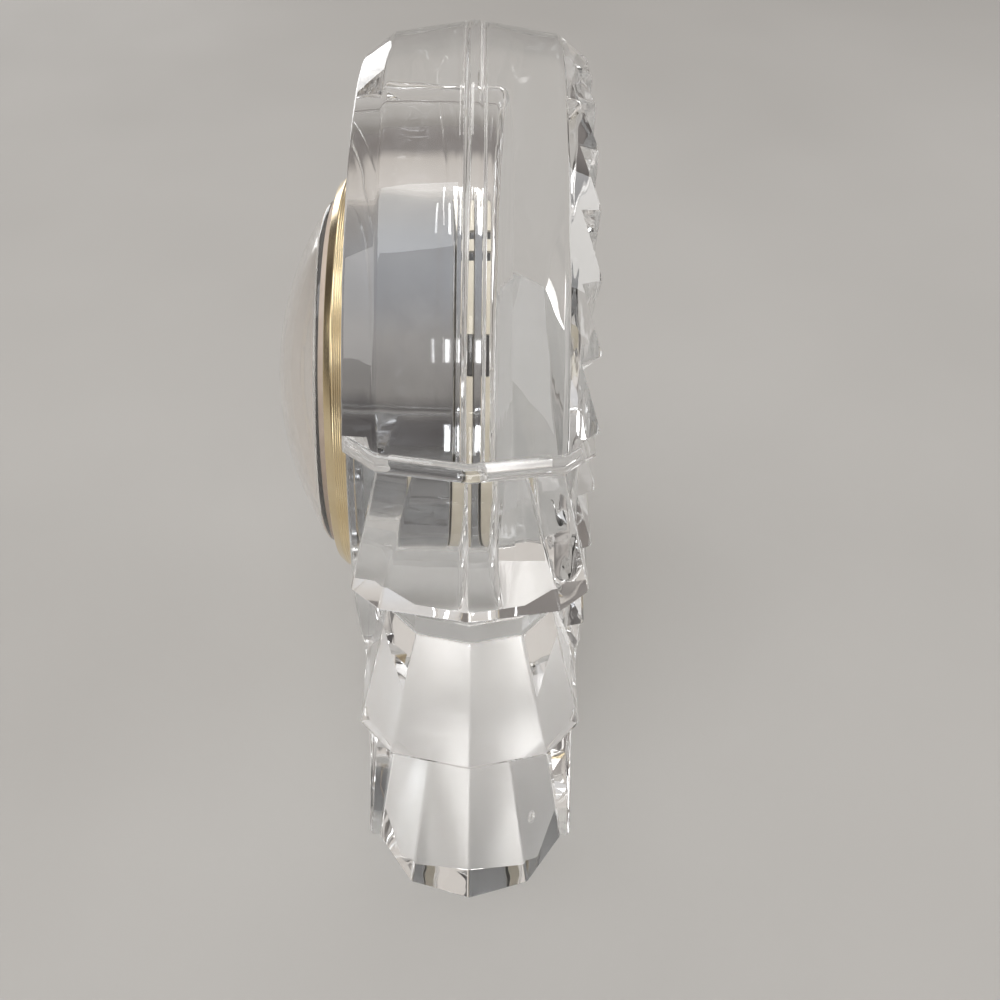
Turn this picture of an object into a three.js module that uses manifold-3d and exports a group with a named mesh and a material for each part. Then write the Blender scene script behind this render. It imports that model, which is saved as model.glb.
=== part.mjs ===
// Crystal mantel clock: a pressed crystal body with a faceted round head on three flared
// tiers, and a quartz insert held in a blind recess. Millimetres, +Z up, dial facing -Y,
// origin on the surface that the clock stands on, under the middle of the crystal.
import * as THREE from 'three';
import { mergeVertices } from 'three/addons/utils/BufferGeometryUtils.js';
import Module from 'manifold-3d';

const wasm = await Module();
wasm.setup();

// Driving dimensions of the crystal
const BODY_THICKNESS = 38;
const CENTRE_HEIGHT = 66;
const HEAD_RIDGE_RADIUS = 62.8;
const HEAD_CORNER_RADIUS = 60.7;
const HEAD_CORNER_OFFSET = 13.8;
const HEAD_FACE_RADIUS = 56.8;
const NECK_ABOVE_CENTRE = 23.8;
const CORE_RADIUS = 51.7;
const FLUTE_COUNT = 32;
const FLUTE_DEPTH = 3;
const FLUTE_LAND = 0.3;
const FLUTE_STEEP_SHARE = 0.12;
const FLUTE_RAISE = 0.6;
const FLUTE_OVERRUN = 0.5;
const FOOT_TOP_HALF_WIDTH = 42.6;
const FOOT_WAIST_HALF_WIDTH = 43.5;
const FOOT_HALF_WIDTH = 57;
const FOOT_TOP = 36;
const FOOT_WAIST_HEIGHT = 13;
const GROOVE_INSET = 3.5;
const SKIRT_BOTTOM = 31;
const SKIRT_INSET = 0.3;

// Each tier widens downwards to its bottom outline, which is given by how far its middle ridge,
// its corners and its outer edges stand from the middle plane, and how far its corners and outer
// edges stand from the ridge plane. The lean is how far each kind of facet draws in at the top.
const TIERS = [
  {
    topZ: 91.5, bottomZ: 64.5, lean: { ridge: 5.1, bevel: 7.3, face: 6.1 },
    bottom: { ridge: 62.4, corner: 59.7, outer: 55.3, cornerHalf: 14.2, outerHalf: 18.9 },
  },
  {
    topZ: 60.3, bottomZ: 39.6, lean: { ridge: 8.7, bevel: 8.3, face: 5 },
    bottom: { ridge: 71.2, corner: 68.2, outer: 61.6, cornerHalf: 12.7, outerHalf: 18.2 },
  },
  {
    topZ: 37.5, bottomZ: 0, lean: { ridge: 9.1, bevel: 8.1, face: 5.8 },
    bottom: { ridge: 70.7, corner: 67.3, outer: 57.5, cornerHalf: 10.7, outerHalf: 17.1 },
  },
];

// Driving dimensions of the insert. Heights are along the insert's own axis, which points out
// of the dial: 0 is the crystal's front face and negative heights are inside the recess.
const RECESS_RADIUS = 33.6;
const RECESS_DEPTH = 21;
const SEAT_GAP = 0.3;
const RUNNING_GAP = 0.2;
const PRESS_GAP = 0.05;
const BEZEL_RADIUS = 36;
const BEZEL_SIDE = 3.6;
const BEZEL_CHAMFER = 1.4;
const BEZEL_CHAMFER_IN = 1.3;
const BEZEL_LIP = 0.9;
const BEZEL_GROOVE_DEPTH = 0.25;
const BEZEL_GROOVES = 2;
const LENS_RADIUS = 31.6;
const LENS_WALL = 1.6;
const LENS_RIM_PROUD = 1.9;
const LENS_DOME_RISE = 9.8;
const CUP_RADIUS = 32.6;
const CUP_WALL = 0.7;
const CUP_DEPTH = 17.9;
const CUP_FLANGE_INSET = 4;
const BAND_FRONT = -1.4;
const BAND_WIDTH = 3.2;
const BACK_CAP_RADIUS = 32;
const BACK_CAP_THICKNESS = 2.3;
const CAP_PLUG_INNER_RADIUS = 26;
const CAP_PLUG_RISE = 1;
const HATCH_MARGIN = 1.4;
const HATCH_LIP = 0.9;
const COIN_SLOT_WIDTH = 1.2;
const COIN_SLOT_DEPTH = 0.6;
const DIAL_RADIUS = 30.8;
const DIAL_THICKNESS = 0.5;
const DIAL_FRONT = -0.5;

// Driving dimensions of the movement
const HOUSING_RADIUS = 24;
const HOUSING_WALL = 1.2;
const HOUSING_DEPTH = 11.2;
const PLATE_THICKNESS = 1;
const WHEEL_THICKNESS = 0.8;
const LAYER_STEP = 1.1;
const ARBOR_RADIUS = 0.5;
const PIVOT_RADIUS = 0.3;
const CANNON_TUBE_RADIUS = 1.2;
const HOUR_TUBE_RADIUS = 1.9;
const STEM_BORE_RADIUS = 2.1;
const STEM_RADIUS = 3.6;
const STEM_HEIGHT = 0.7;
const NUT_RADIUS = 5.6;
const NUT_HEIGHT = 1;
const SHOULDER_GAP = 0.3;
const PIVOT_REACH = 0.8;
const PIVOT_CLEARANCE = 0.1;
const HAND_THICKNESS = 0.3;
const HAND_GAP = 0.7;
const HAND_ABOVE_NUT = 0.4;
const HAND_WIDEST_SHARE = 0.55;
const HAND_SWELL = 1.4;
const HOUR_HAND = { length: 16, tail: 4, width: 1.9, tip: 0.4, boss: 3.2 };
const MINUTE_HAND = { length: 24, tail: 5, width: 1.5, tip: 0.4, boss: 2.2 };
const SECOND_HAND = { length: 25, tail: 7, width: 0.6, tip: 0.3, boss: 1.3 };
const SECOND_HAND_CAP = 0.9;
const BATTERY_RADIUS = 5.8;
const BATTERY_THICKNESS = 5.4;
const BATTERY_RIM = 0.9;
const BATTERY_STEP = 0.5;
const BATTERY_FROM_WALL = 0.6;
const WELL_WALL = 1;
const KNOB_RADIUS = 4.5;
const KNOB_THICKNESS = 1.9;
const KNOB_SHAFT_RADIUS = 1;
const KNOB_SLOT_WIDTH = 1;
const KNOB_SLOT_DEPTH = 0.5;
const ROTOR_RADIUS = 2.6;
const ROTOR_THICKNESS = 2;
const ROTOR_CLEARANCE = 0.5;
const STATOR_RING_WIDTH = 2.2;
const STATOR_ARM_WIDTH = 3;
const COIL_BELOW_CENTRE = 17;
const COIL_LENGTH = 13;
const COIL_RADIUS = 2.1;
const BOBBIN_FLANGE = 0.6;
const BOBBIN_DEPTH = 0.7;
const WINDING_PROUD = 0.1;
const CORE_WIDTH = 1.6;
const CORE_THICKNESS = 0.8;
const CORE_OVERHANG = 2;
const CORE_CLEARANCE = 0.1;
const BOARD = { width: 11.5, height: 13, x: 14, y: 3.4 };
const BOARD_THICKNESS = 0.6;
const BOARD_BELOW_ROTOR = 0.6;
const SOLDER_GAP = 0.1;
const POST_RADIUS = 0.9;
const CHIP = { radius: 2, height: 0.9, x: -2, y: 1 };
const OSCILLATOR = { radius: 0.75, length: 6, x: 3 };
const CONTACT_THICKNESS = 0.3;
const CONTACT_WIDTH = 2.2;
const CONTACT_GAP = 0.15;
const NEGATIVE_REACH = 9;
const NEGATIVE_START = -1;
const NEGATIVE_OFFSET = 2.4;
const POSITIVE_DROP = 3;
const POSITIVE_FOOT = 4;
const CONTACT_SLOT = { width: 1.4, outside: 0.4 };
const SCREW_RADIUS = 0.8;
const SCREW_HEAD_RADIUS = 1.5;
const SCREW_HEAD_HEIGHT = 0.8;
const SCREW_REACH = 4;
const SCREW_CLEARANCE = 0.1;
const SCREW_OUTSIDE_WALL = 0.2;
const SCREW_DIRECTIONS = [45, 150, 270];
const LUG_RADIUS = 2.2;

// Slots through the rim of the back cap, given by their direction and their width
const CAP_SLOT_DEPTH = 1.8;
const CAP_SLOTS = [
  { direction: 41, width: 5.7 }, { direction: 66.4, width: 1.6 }, { direction: 72.7, width: 1.6 },
  { direction: 139, width: 5.7 }, { direction: 113.6, width: 1.6 }, { direction: 107.3, width: 1.6 },
  { direction: 221, width: 5.7 }, { direction: 319, width: 5.7 },
];

// How far a cutting form runs past the face it cuts, and a joined form into its neighbour
const CUT_REACH = 1;
const WELD = 0.1;

// Numbers of teeth, and the distances between the arbors that carry them
const TEETH = {
  rotorPinion: 6, fifthWheel: 36, fifthPinion: 8, secondsWheel: 40,
  secondsPinion: 6, thirdWheel: 45, thirdPinion: 6, centreWheel: 48,
  cannonPinion: 12, minuteWheel: 36, minutePinion: 10, hourWheel: 40,
};
const THIRD_FROM_CENTRE = 9;
const FIFTH_FROM_CENTRE = 9;
const ROTOR_FROM_FIFTH = 6.3;
const MINUTE_FROM_CENTRE = 7.2;
const THIRD_DIRECTION = 90;
const FIFTH_DIRECTION = 210;
const MINUTE_DIRECTION = 330;
const OPPOSITE = 180;

// A tooth's height below the pitch circle as a share of the module, its height above as a share
// of that, and its half widths at root and tip as shares of the pitch
const TOOTH_DEPTH_SHARE = 0.8;
const TOOTH_RISE_SHARE = 0.75;
const TOOTH_ROOT_SHARE = 0.32;
const TOOTH_TIP_SHARE = 0.08;

// Smoothness of the round forms
const CRYSTAL_SEGMENTS = 96;
const INSERT_SEGMENTS = 60;
const SMALL_SEGMENTS = 20;
const PIN_SEGMENTS = 10;
const ARC_STEPS = 6;

const finishes = {
  crystal: { color: 0xf4f6f7, roughness: 0.03, metalness: 0, transparent: true, opacity: 0.35 },
  lens: { color: 0xf6f3ee, roughness: 0.02, metalness: 0, transparent: true, opacity: 0.35 },
  gilt: { color: 0xd9b45c, roughness: 0.22, metalness: 1 },
  plated: { color: 0xc9cacc, roughness: 0.16, metalness: 1 },
  steel: { color: 0xb8b8b8, roughness: 0.35, metalness: 1 },
  brass: { color: 0xc9a24a, roughness: 0.35, metalness: 1 },
  dial: { color: 0xf3ede0, roughness: 0.5, metalness: 0 },
  black: { color: 0x141414, roughness: 0.4, metalness: 0 },
  cream: { color: 0xe9e2d2, roughness: 0.45, metalness: 0 },
  board: { color: 0x27583a, roughness: 0.5, metalness: 0 },
  copper: { color: 0xb5673a, roughness: 0.35, metalness: 1 },
  rubber: { color: 0x8a8a88, roughness: 0.7, metalness: 0 },
  nylon: { color: 0xf1efe8, roughness: 0.5, metalness: 0 },
};

// Solids

function signedVolume(positions, index) {
  const [a, b, c] = [new THREE.Vector3(), new THREE.Vector3(), new THREE.Vector3()];
  let volume = 0;
  for (let i = 0; i < index.length; i += 3) {
    a.fromArray(positions, index[i] * 3);
    b.fromArray(positions, index[i + 1] * 3);
    c.fromArray(positions, index[i + 2] * 3);
    volume += a.dot(b.clone().cross(c)) / 6;
  }
  return volume;
}

// Turns a closed geometry into a solid: shared vertices merged, empty triangles left out and
// faces pointing outwards.
function solidOf(geometry) {
  const bare = geometry.clone();
  bare.deleteAttribute('normal');
  bare.deleteAttribute('uv');
  const merged = mergeVertices(bare, 1e-4);
  const positions = Float32Array.from(merged.attributes.position.array);
  const index = [];
  for (let i = 0; i < merged.index.count; i += 3) {
    const [p, q, r] = [0, 1, 2].map((k) => merged.index.getX(i + k));
    if (p !== q && q !== r && r !== p) index.push(p, q, r);
  }
  const flipped = signedVolume(positions, index) < 0;
  const triVerts = Uint32Array.from(flipped ? index.reverse() : index);
  return new wasm.Manifold(new wasm.Mesh({ numProp: 3, vertProperties: positions, triVerts }));
}

function geometryOf(solid) {
  const { vertProperties, triVerts } = solid.getMesh();
  const geometry = new THREE.BufferGeometry();
  geometry.setAttribute('position', new THREE.BufferAttribute(vertProperties, 3));
  geometry.setIndex(new THREE.BufferAttribute(triVerts, 1));
  geometry.computeVertexNormals();
  return geometry;
}

// A turned form round the Z axis, from [radius, height] pairs
function turned(profile, segments = INSERT_SEGMENTS) {
  const points = profile.map(([radius, height]) => new THREE.Vector2(radius, height));
  return solidOf(new THREE.LatheGeometry(points, segments).rotateX(Math.PI / 2));
}

function disc(radius, bottom, top, segments = SMALL_SEGMENTS) {
  return turned([[0, bottom], [radius, bottom], [radius, top], [0, top]], segments);
}

function ring(inner, outer, bottom, top, segments = INSERT_SEGMENTS) {
  return turned(
    [[inner, bottom], [outer, bottom], [outer, top], [inner, top], [inner, bottom]], segments);
}

function extruded(shape, bottom, top) {
  const settings = { depth: top - bottom, bevelEnabled: false, curveSegments: ARC_STEPS };
  return solidOf(new THREE.ExtrudeGeometry(shape, settings).translate(0, 0, bottom));
}

function plate(width, height, bottom, top, x = 0, y = 0) {
  return solidOf(new THREE.BoxGeometry(width, height, top - bottom)
    .translate(x, y, (bottom + top) / 2));
}

function joined(...solids) {
  return solids.reduce((whole, solid) => whole.add(solid));
}

function cut(body, ...tools) {
  return tools.reduce((rest, tool) => rest.subtract(tool), body);
}

// A solid between two outlines of equally many points, one at each height
function lofted(lower, upper, bottom, top) {
  const count = lower.length;
  const positions = [
    ...lower.flatMap(([x, y]) => [x, y, bottom]),
    ...upper.flatMap(([x, y]) => [x, y, top]),
  ];
  const index = [];
  for (let i = 0; i < count; i += 1) {
    const next = (i + 1) % count;
    index.push(i, next, count + next, i, count + next, count + i);
    if (i > 1) index.push(0, i, i - 1, count, count + i - 1, count + i);
  }
  const geometry = new THREE.BufferGeometry();
  geometry.setAttribute('position', new THREE.Float32BufferAttribute(positions, 3));
  geometry.setIndex(index);
  return solidOf(geometry);
}

function polar(radius, degrees) {
  const angle = THREE.MathUtils.degToRad(degrees);
  return [radius * Math.cos(angle), radius * Math.sin(angle)];
}

// Crystal body

function headProfile() {
  const half = BODY_THICKNESS / 2;
  return [
    [0, -half], [HEAD_FACE_RADIUS, -half], [HEAD_CORNER_RADIUS, -HEAD_CORNER_OFFSET],
    [HEAD_RIDGE_RADIUS, 0], [HEAD_CORNER_RADIUS, HEAD_CORNER_OFFSET],
    [HEAD_FACE_RADIUS, half], [0, half],
  ];
}

// The head and its cutters are made flat, with the clock's back at the top, and turned upright
function upright(solid) {
  return solid.rotate([-90, 0, 0]).translate([0, 0, CENTRE_HEIGHT]);
}

function slab(bottom, top) {
  const reach = 4 * HEAD_RIDGE_RADIUS;
  return solidOf(new THREE.BoxGeometry(reach, reach, top - bottom)
    .translate(0, 0, (bottom + top) / 2));
}

function crystalHead() {
  const neck = CENTRE_HEIGHT + NECK_ABOVE_CENTRE;
  const top = CENTRE_HEIGHT + HEAD_RIDGE_RADIUS + BODY_THICKNESS;
  return upright(turned(headProfile(), CRYSTAL_SEGMENTS)).intersect(slab(neck, top));
}

function crystalCore() {
  const half = BODY_THICKNESS / 2;
  return upright(disc(CORE_RADIUS, -half, half, CRYSTAL_SEGMENTS));
}

function tierOutline({ ridge, corner, outer, cornerHalf, outerHalf }) {
  const right = [
    [outer, -outerHalf], [corner, -cornerHalf], [ridge, 0],
    [corner, cornerHalf], [outer, outerHalf],
  ];
  const left = right.map(([x, y]) => [-x, -y]);
  return [...right, ...left];
}

// A tier's outline at its top, with each facet's edge kept parallel to its edge at the bottom
function topOutline({ ridge, corner, outer, cornerHalf, outerHalf }, lean) {
  const slope = (ridge - corner) / cornerHalf;
  const topRidge = ridge - lean.ridge;
  const bevel = new THREE.Vector2(outer - corner, outerHalf - cornerHalf);
  const inward = new THREE.Vector2(-bevel.y, bevel.x).setLength(lean.bevel);
  const start = new THREE.Vector2(corner, cornerHalf).add(inward);
  const along = (topRidge - slope * start.y - start.x) / (bevel.x + slope * bevel.y);
  const topCorner = start.clone().addScaledVector(bevel, along);
  const topHalf = outerHalf - lean.face;
  const topOuter = start.clone().addScaledVector(bevel, (topHalf - start.y) / bevel.y);
  return {
    ridge: topRidge, corner: topCorner.x, outer: topOuter.x,
    cornerHalf: topCorner.y, outerHalf: topHalf,
  };
}

function tier({ topZ, bottomZ, bottom, lean }) {
  return lofted(tierOutline(bottom), tierOutline(topOutline(bottom, lean)), bottomZ, topZ);
}

// The narrower section that shows in the groove between two tiers
function groove(above, below) {
  const { ridge, corner, outer, cornerHalf, outerHalf } = topOutline(below.bottom, below.lean);
  const inset = tierOutline({
    ridge: ridge - GROOVE_INSET, corner: corner - GROOVE_INSET, outer: outer - GROOVE_INSET,
    cornerHalf, outerHalf,
  });
  return lofted(inset, inset, below.topZ - CUT_REACH, above.bottomZ + CUT_REACH);
}

// Under a tier without a groove the glass draws in to the facets of the next one
function skirt(above, below) {
  const share = (SKIRT_BOTTOM - below.bottomZ) / (below.topZ - below.bottomZ);
  const narrow = topOutline(below.bottom, below.lean);
  const between = (key) => THREE.MathUtils.lerp(below.bottom[key], narrow[key], share);
  const lower = tierOutline({
    ridge: between('ridge') - SKIRT_INSET, corner: between('corner') - SKIRT_INSET,
    outer: between('outer') - SKIRT_INSET,
    cornerHalf: between('cornerHalf'), outerHalf: between('outerHalf'),
  });
  return lofted(lower, tierOutline(above.bottom), SKIRT_BOTTOM, above.bottomZ);
}

function foot() {
  const side = new THREE.QuadraticBezierCurve(
    new THREE.Vector2(FOOT_HALF_WIDTH, 0),
    new THREE.Vector2(FOOT_WAIST_HALF_WIDTH, FOOT_WAIST_HEIGHT),
    new THREE.Vector2(FOOT_TOP_HALF_WIDTH, FOOT_TOP)).getPoints(ARC_STEPS);
  const mirrored = side.map(({ x, y }) => new THREE.Vector2(-x, y)).reverse();
  const half = BODY_THICKNESS / 2;
  return extruded(new THREE.Shape([...side, ...mirrored]), -half, half).rotate([90, 0, 0]);
}

// One saw-tooth flute: a steep side and a long slope that meet in a line falling outwards
function fluteCutter(number) {
  const pitch = 360 / FLUTE_COUNT;
  const start = pitch * (number + 0.5);
  const far = HEAD_RIDGE_RADIUS + FLUTE_DEPTH;
  const back = BODY_THICKNESS / 2;
  const bottomDirection = start + pitch * FLUTE_STEEP_SHARE;
  const fall = (FLUTE_DEPTH + FLUTE_LAND) * far / HEAD_FACE_RADIUS;
  const apex = new THREE.Vector3(0, 0, back + FLUTE_LAND);
  const tip = new THREE.Vector3(...polar(far, start), back);
  const valley = new THREE.Vector3(...polar(far, bottomDirection), back + FLUTE_LAND - fall);
  const nextTip = new THREE.Vector3(...polar(far, start + pitch), back);
  const raisedTip = tip.clone().lerp(valley, -FLUTE_RAISE);
  const raisedNext = nextTip.clone().lerp(valley, -FLUTE_RAISE);
  const corners = [apex, raisedTip, valley, raisedNext];
  const geometry = new THREE.BufferGeometry();
  geometry.setAttribute(
    'position', new THREE.Float32BufferAttribute(corners.flatMap((c) => c.toArray()), 3));
  geometry.setIndex([0, 1, 2, 0, 2, 3, 0, 3, 1, 1, 3, 2]);
  return solidOf(geometry);
}

function flutes() {
  const cutters = Array.from({ length: FLUTE_COUNT }, (_, number) => fluteCutter(number));
  const half = BODY_THICKNESS / 2;
  const limit = disc(
    CORE_RADIUS + FLUTE_OVERRUN, -half, half + FLUTE_DEPTH, CRYSTAL_SEGMENTS);
  const overNeck = slab(CENTRE_HEIGHT + NECK_ABOVE_CENTRE, CENTRE_HEIGHT + 2 * HEAD_RIDGE_RADIUS);
  return upright(joined(...cutters)).intersect(joined(upright(limit), overNeck));
}

function crystalBody() {
  const half = BODY_THICKNESS / 2;
  const whole = joined(
    crystalHead(), crystalCore(), foot(), ...TIERS.map(tier), groove(TIERS[0], TIERS[1]),
    skirt(TIERS[1], TIERS[2]));
  const recess = upright(
    disc(RECESS_RADIUS, -half - RECESS_DEPTH, -half + RECESS_DEPTH, CRYSTAL_SEGMENTS));
  return cut(whole, flutes(), recess);
}

// Insert case

const bezelFront = SEAT_GAP + BEZEL_SIDE + BEZEL_CHAMFER;
const lensSeat = SEAT_GAP + BEZEL_LIP;
const cupBack = -CUP_DEPTH;
const capFront = cupBack - SEAT_GAP;
const capBack = capFront - BACK_CAP_THICKNESS;

function bezel() {
  const grooveStep = BEZEL_SIDE / (BEZEL_GROOVES + 1);
  const grooves = [];
  for (let i = 0; i < BEZEL_GROOVES; i += 1) {
    const middle = SEAT_GAP + grooveStep * (i + 1);
    grooves.push(
      [BEZEL_RADIUS, middle - BEZEL_GROOVE_DEPTH],
      [BEZEL_RADIUS - BEZEL_GROOVE_DEPTH, middle],
      [BEZEL_RADIUS, middle + BEZEL_GROOVE_DEPTH]);
  }
  const lensBore = LENS_RADIUS + SEAT_GAP;
  return turned([
    [LENS_RADIUS - LENS_WALL, SEAT_GAP], [BEZEL_RADIUS, SEAT_GAP], ...grooves,
    [BEZEL_RADIUS, SEAT_GAP + BEZEL_SIDE],
    [BEZEL_RADIUS - BEZEL_CHAMFER_IN, bezelFront], [lensBore, bezelFront],
    [lensBore, lensSeat], [LENS_RADIUS - LENS_WALL, lensSeat],
    [LENS_RADIUS - LENS_WALL, SEAT_GAP],
  ]);
}

// Points of a dome from its rim to its apex: an arc through both
function dome(rimRadius, rimHeight, rise) {
  const sphere = (rimRadius ** 2 + rise ** 2) / (2 * rise);
  const opening = Math.asin(rimRadius / sphere);
  const points = [];
  for (let i = 0; i <= ARC_STEPS; i += 1) {
    const angle = opening * (1 - i / ARC_STEPS);
    const radius = i === ARC_STEPS ? 0 : sphere * Math.sin(angle);
    points.push([radius, rimHeight + rise - sphere * (1 - Math.cos(angle))]);
  }
  return points;
}

function lens() {
  const bottom = lensSeat + SEAT_GAP;
  const rimTop = bezelFront + LENS_RIM_PROUD;
  const inside = dome(LENS_RADIUS - LENS_WALL, rimTop - LENS_WALL, LENS_DOME_RISE);
  const outside = dome(LENS_RADIUS, rimTop, LENS_DOME_RISE);
  return turned([
    ...inside.reverse(), [LENS_RADIUS - LENS_WALL, bottom], [LENS_RADIUS, bottom], ...outside,
  ]);
}

function caseCup() {
  const inner = CUP_RADIUS - CUP_WALL;
  const flange = CUP_RADIUS - CUP_FLANGE_INSET;
  return turned([
    [CUP_RADIUS, 0], [inner, 0], [inner, cupBack + CUP_WALL], [flange, cupBack + CUP_WALL],
    [flange, cupBack], [CUP_RADIUS, cupBack], [CUP_RADIUS, 0],
  ]);
}

function retainingBand() {
  return ring(CUP_RADIUS + RUNNING_GAP, RECESS_RADIUS - RUNNING_GAP,
    BAND_FRONT - BAND_WIDTH, BAND_FRONT);
}

const batteryPlace = [0, HOUSING_RADIUS - HOUSING_WALL - BATTERY_FROM_WALL - BATTERY_RADIUS];
// The knob's pinion has as many teeth as the cannon pinion, so it is as far from the minute wheel
const knobPlace = polar(2 * MINUTE_FROM_CENTRE, MINUTE_DIRECTION);
const hatchRadius = BATTERY_RADIUS + HATCH_MARGIN;
const hatchSeat = capBack + BACK_CAP_THICKNESS / 2;

function capSlot({ direction, width }) {
  return plate(2 * CAP_SLOT_DEPTH, width, capBack - CUT_REACH, capFront + CUT_REACH,
    BACK_CAP_RADIUS, 0).rotate([0, 0, direction]);
}

function backCap() {
  const plug = ring(
    CAP_PLUG_INNER_RADIUS, CUP_RADIUS - CUP_FLANGE_INSET - RUNNING_GAP, capFront - WELD,
    cupBack + CUP_WALL + CAP_PLUG_RISE);
  const hatchHole = disc(hatchRadius - HATCH_LIP, capBack - CUT_REACH, capFront + CUT_REACH)
    .add(disc(hatchRadius, capBack - CUT_REACH, hatchSeat + RUNNING_GAP / 2))
    .translate([...batteryPlace, 0]);
  const knobHole = disc(KNOB_RADIUS + RUNNING_GAP, capBack - CUT_REACH, capFront + CUT_REACH)
    .translate([...knobPlace, 0]);
  return cut(
    disc(BACK_CAP_RADIUS, capBack, capFront, INSERT_SEGMENTS).add(plug),
    hatchHole, knobHole, ...CAP_SLOTS.map(capSlot));
}

// A round lid with a coin slot, sunk in the back cap
function batteryHatch() {
  const lidTop = hatchSeat - RUNNING_GAP;
  const lid = disc(hatchRadius - RUNNING_GAP, capBack, lidTop)
    .add(disc(hatchRadius - HATCH_LIP - RUNNING_GAP, lidTop - WELD, capFront));
  const coinSlot = plate(
    hatchRadius, COIN_SLOT_WIDTH, capBack - CUT_REACH, capBack + COIN_SLOT_DEPTH);
  return cut(lid, coinSlot).translate([...batteryPlace, 0]);
}

// Dial and hands

const dialBack = DIAL_FRONT - DIAL_THICKNESS;
const frontPlateTop = dialBack - SEAT_GAP;
const frontPlateBottom = frontPlateTop - PLATE_THICKNESS;
const stemTop = DIAL_FRONT + STEM_HEIGHT;
const nutTop = DIAL_FRONT + SEAT_GAP / 2 + NUT_HEIGHT;
const hourHandBottom = nutTop + HAND_ABOVE_NUT;
const minuteHandBottom = hourHandBottom + HAND_THICKNESS + HAND_GAP;
const secondHandBottom = minuteHandBottom + HAND_THICKNESS + HAND_GAP;

function dialPlate() {
  return ring(STEM_RADIUS + RUNNING_GAP, DIAL_RADIUS, dialBack, DIAL_FRONT);
}

function dialNut() {
  const outline = new THREE.Shape(
    Array.from({ length: 6 }, (_, i) => new THREE.Vector2(...polar(NUT_RADIUS, 60 * i))));
  const bore = disc(STEM_RADIUS + RUNNING_GAP, dialBack, nutTop + CUT_REACH);
  return cut(extruded(outline, DIAL_FRONT + SEAT_GAP / 2, nutTop), bore);
}

// A flat tapered hand that points to 12, with a short tail and a round boss
function hand({ length, tail, width, tip, boss }, bottom, bore) {
  const half = width / 2;
  const widest = new THREE.Vector2(half * HAND_SWELL, length * HAND_WIDEST_SHARE);
  const outline = new THREE.Shape([
    new THREE.Vector2(-half, -tail), new THREE.Vector2(half, -tail),
    new THREE.Vector2(half, 0), widest,
    new THREE.Vector2(tip / 2, length), new THREE.Vector2(-tip / 2, length),
    new THREE.Vector2(-widest.x, widest.y), new THREE.Vector2(-half, 0),
  ]);
  const top = bottom + HAND_THICKNESS;
  const blank = extruded(outline, bottom, top).add(disc(boss, bottom, top));
  return bore ? cut(blank, disc(bore, bottom - CUT_REACH, top + CUT_REACH)) : blank;
}

function hourHand() {
  return hand(HOUR_HAND, hourHandBottom, HOUR_TUBE_RADIUS + PRESS_GAP);
}

function minuteHand() {
  return hand(MINUTE_HAND, minuteHandBottom, CANNON_TUBE_RADIUS + PRESS_GAP);
}

function secondHand() {
  const cap = disc(SECOND_HAND.boss, secondHandBottom, secondHandBottom + SECOND_HAND_CAP);
  return hand(SECOND_HAND, secondHandBottom, 0).add(cap);
}

// Gear train. Layers are counted from the front plate backwards.

function layer(number) {
  const top = frontPlateBottom - RUNNING_GAP - LAYER_STEP * number;
  return [top - WHEEL_THICKNESS, top];
}

const rearPlateFront = frontPlateTop - HOUSING_DEPTH;
const rearPlateBack = rearPlateFront - PLATE_THICKNESS;

function toothModule(distance, teethA, teethB) {
  return 2 * distance / (teethA + teethB);
}

// A toothed disc with straight-sided teeth; one tooth, or one space, points along `facing`
function gear(teeth, module, [bottom, top], facing, toothFaces) {
  const pitchRadius = module * teeth / 2;
  const depth = module * TOOTH_DEPTH_SHARE;
  const pitch = 360 / teeth;
  const start = facing + (toothFaces ? 0 : pitch / 2);
  const points = [];
  const root = pitchRadius - depth;
  const crest = pitchRadius + depth * TOOTH_RISE_SHARE;
  for (let i = 0; i < teeth; i += 1) {
    const middle = start + pitch * i;
    const corners = [
      [root, middle - pitch * TOOTH_ROOT_SHARE], [crest, middle - pitch * TOOTH_TIP_SHARE],
      [crest, middle + pitch * TOOTH_TIP_SHARE], [root, middle + pitch * TOOTH_ROOT_SHARE],
    ];
    points.push(...corners.map(([r, a]) => new THREE.Vector2(...polar(r, a))));
  }
  return extruded(new THREE.Shape(points), bottom, top);
}

const modules = {
  rotor: toothModule(ROTOR_FROM_FIFTH, TEETH.rotorPinion, TEETH.fifthWheel),
  fifth: toothModule(FIFTH_FROM_CENTRE, TEETH.fifthPinion, TEETH.secondsWheel),
  seconds: toothModule(THIRD_FROM_CENTRE, TEETH.secondsPinion, TEETH.thirdWheel),
  third: toothModule(THIRD_FROM_CENTRE, TEETH.thirdPinion, TEETH.centreWheel),
  cannon: toothModule(MINUTE_FROM_CENTRE, TEETH.cannonPinion, TEETH.minuteWheel),
  minute: toothModule(MINUTE_FROM_CENTRE, TEETH.minutePinion, TEETH.hourWheel),
};

const thirdPlace = polar(THIRD_FROM_CENTRE, THIRD_DIRECTION);
const fifthPlace = polar(FIFTH_FROM_CENTRE, FIFTH_DIRECTION);
const minutePlace = polar(MINUTE_FROM_CENTRE, MINUTE_DIRECTION);
const rotorPlace = polar(FIFTH_FROM_CENTRE + ROTOR_FROM_FIFTH, FIFTH_DIRECTION);

// A shaft with a thinner pivot in each plate
function arbor(front, back) {
  return joined(
    disc(ARBOR_RADIUS, back + SHOULDER_GAP, front - SHOULDER_GAP, PIN_SEGMENTS),
    disc(PIVOT_RADIUS, back - PIVOT_REACH, front + PIVOT_REACH, PIN_SEGMENTS));
}

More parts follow.
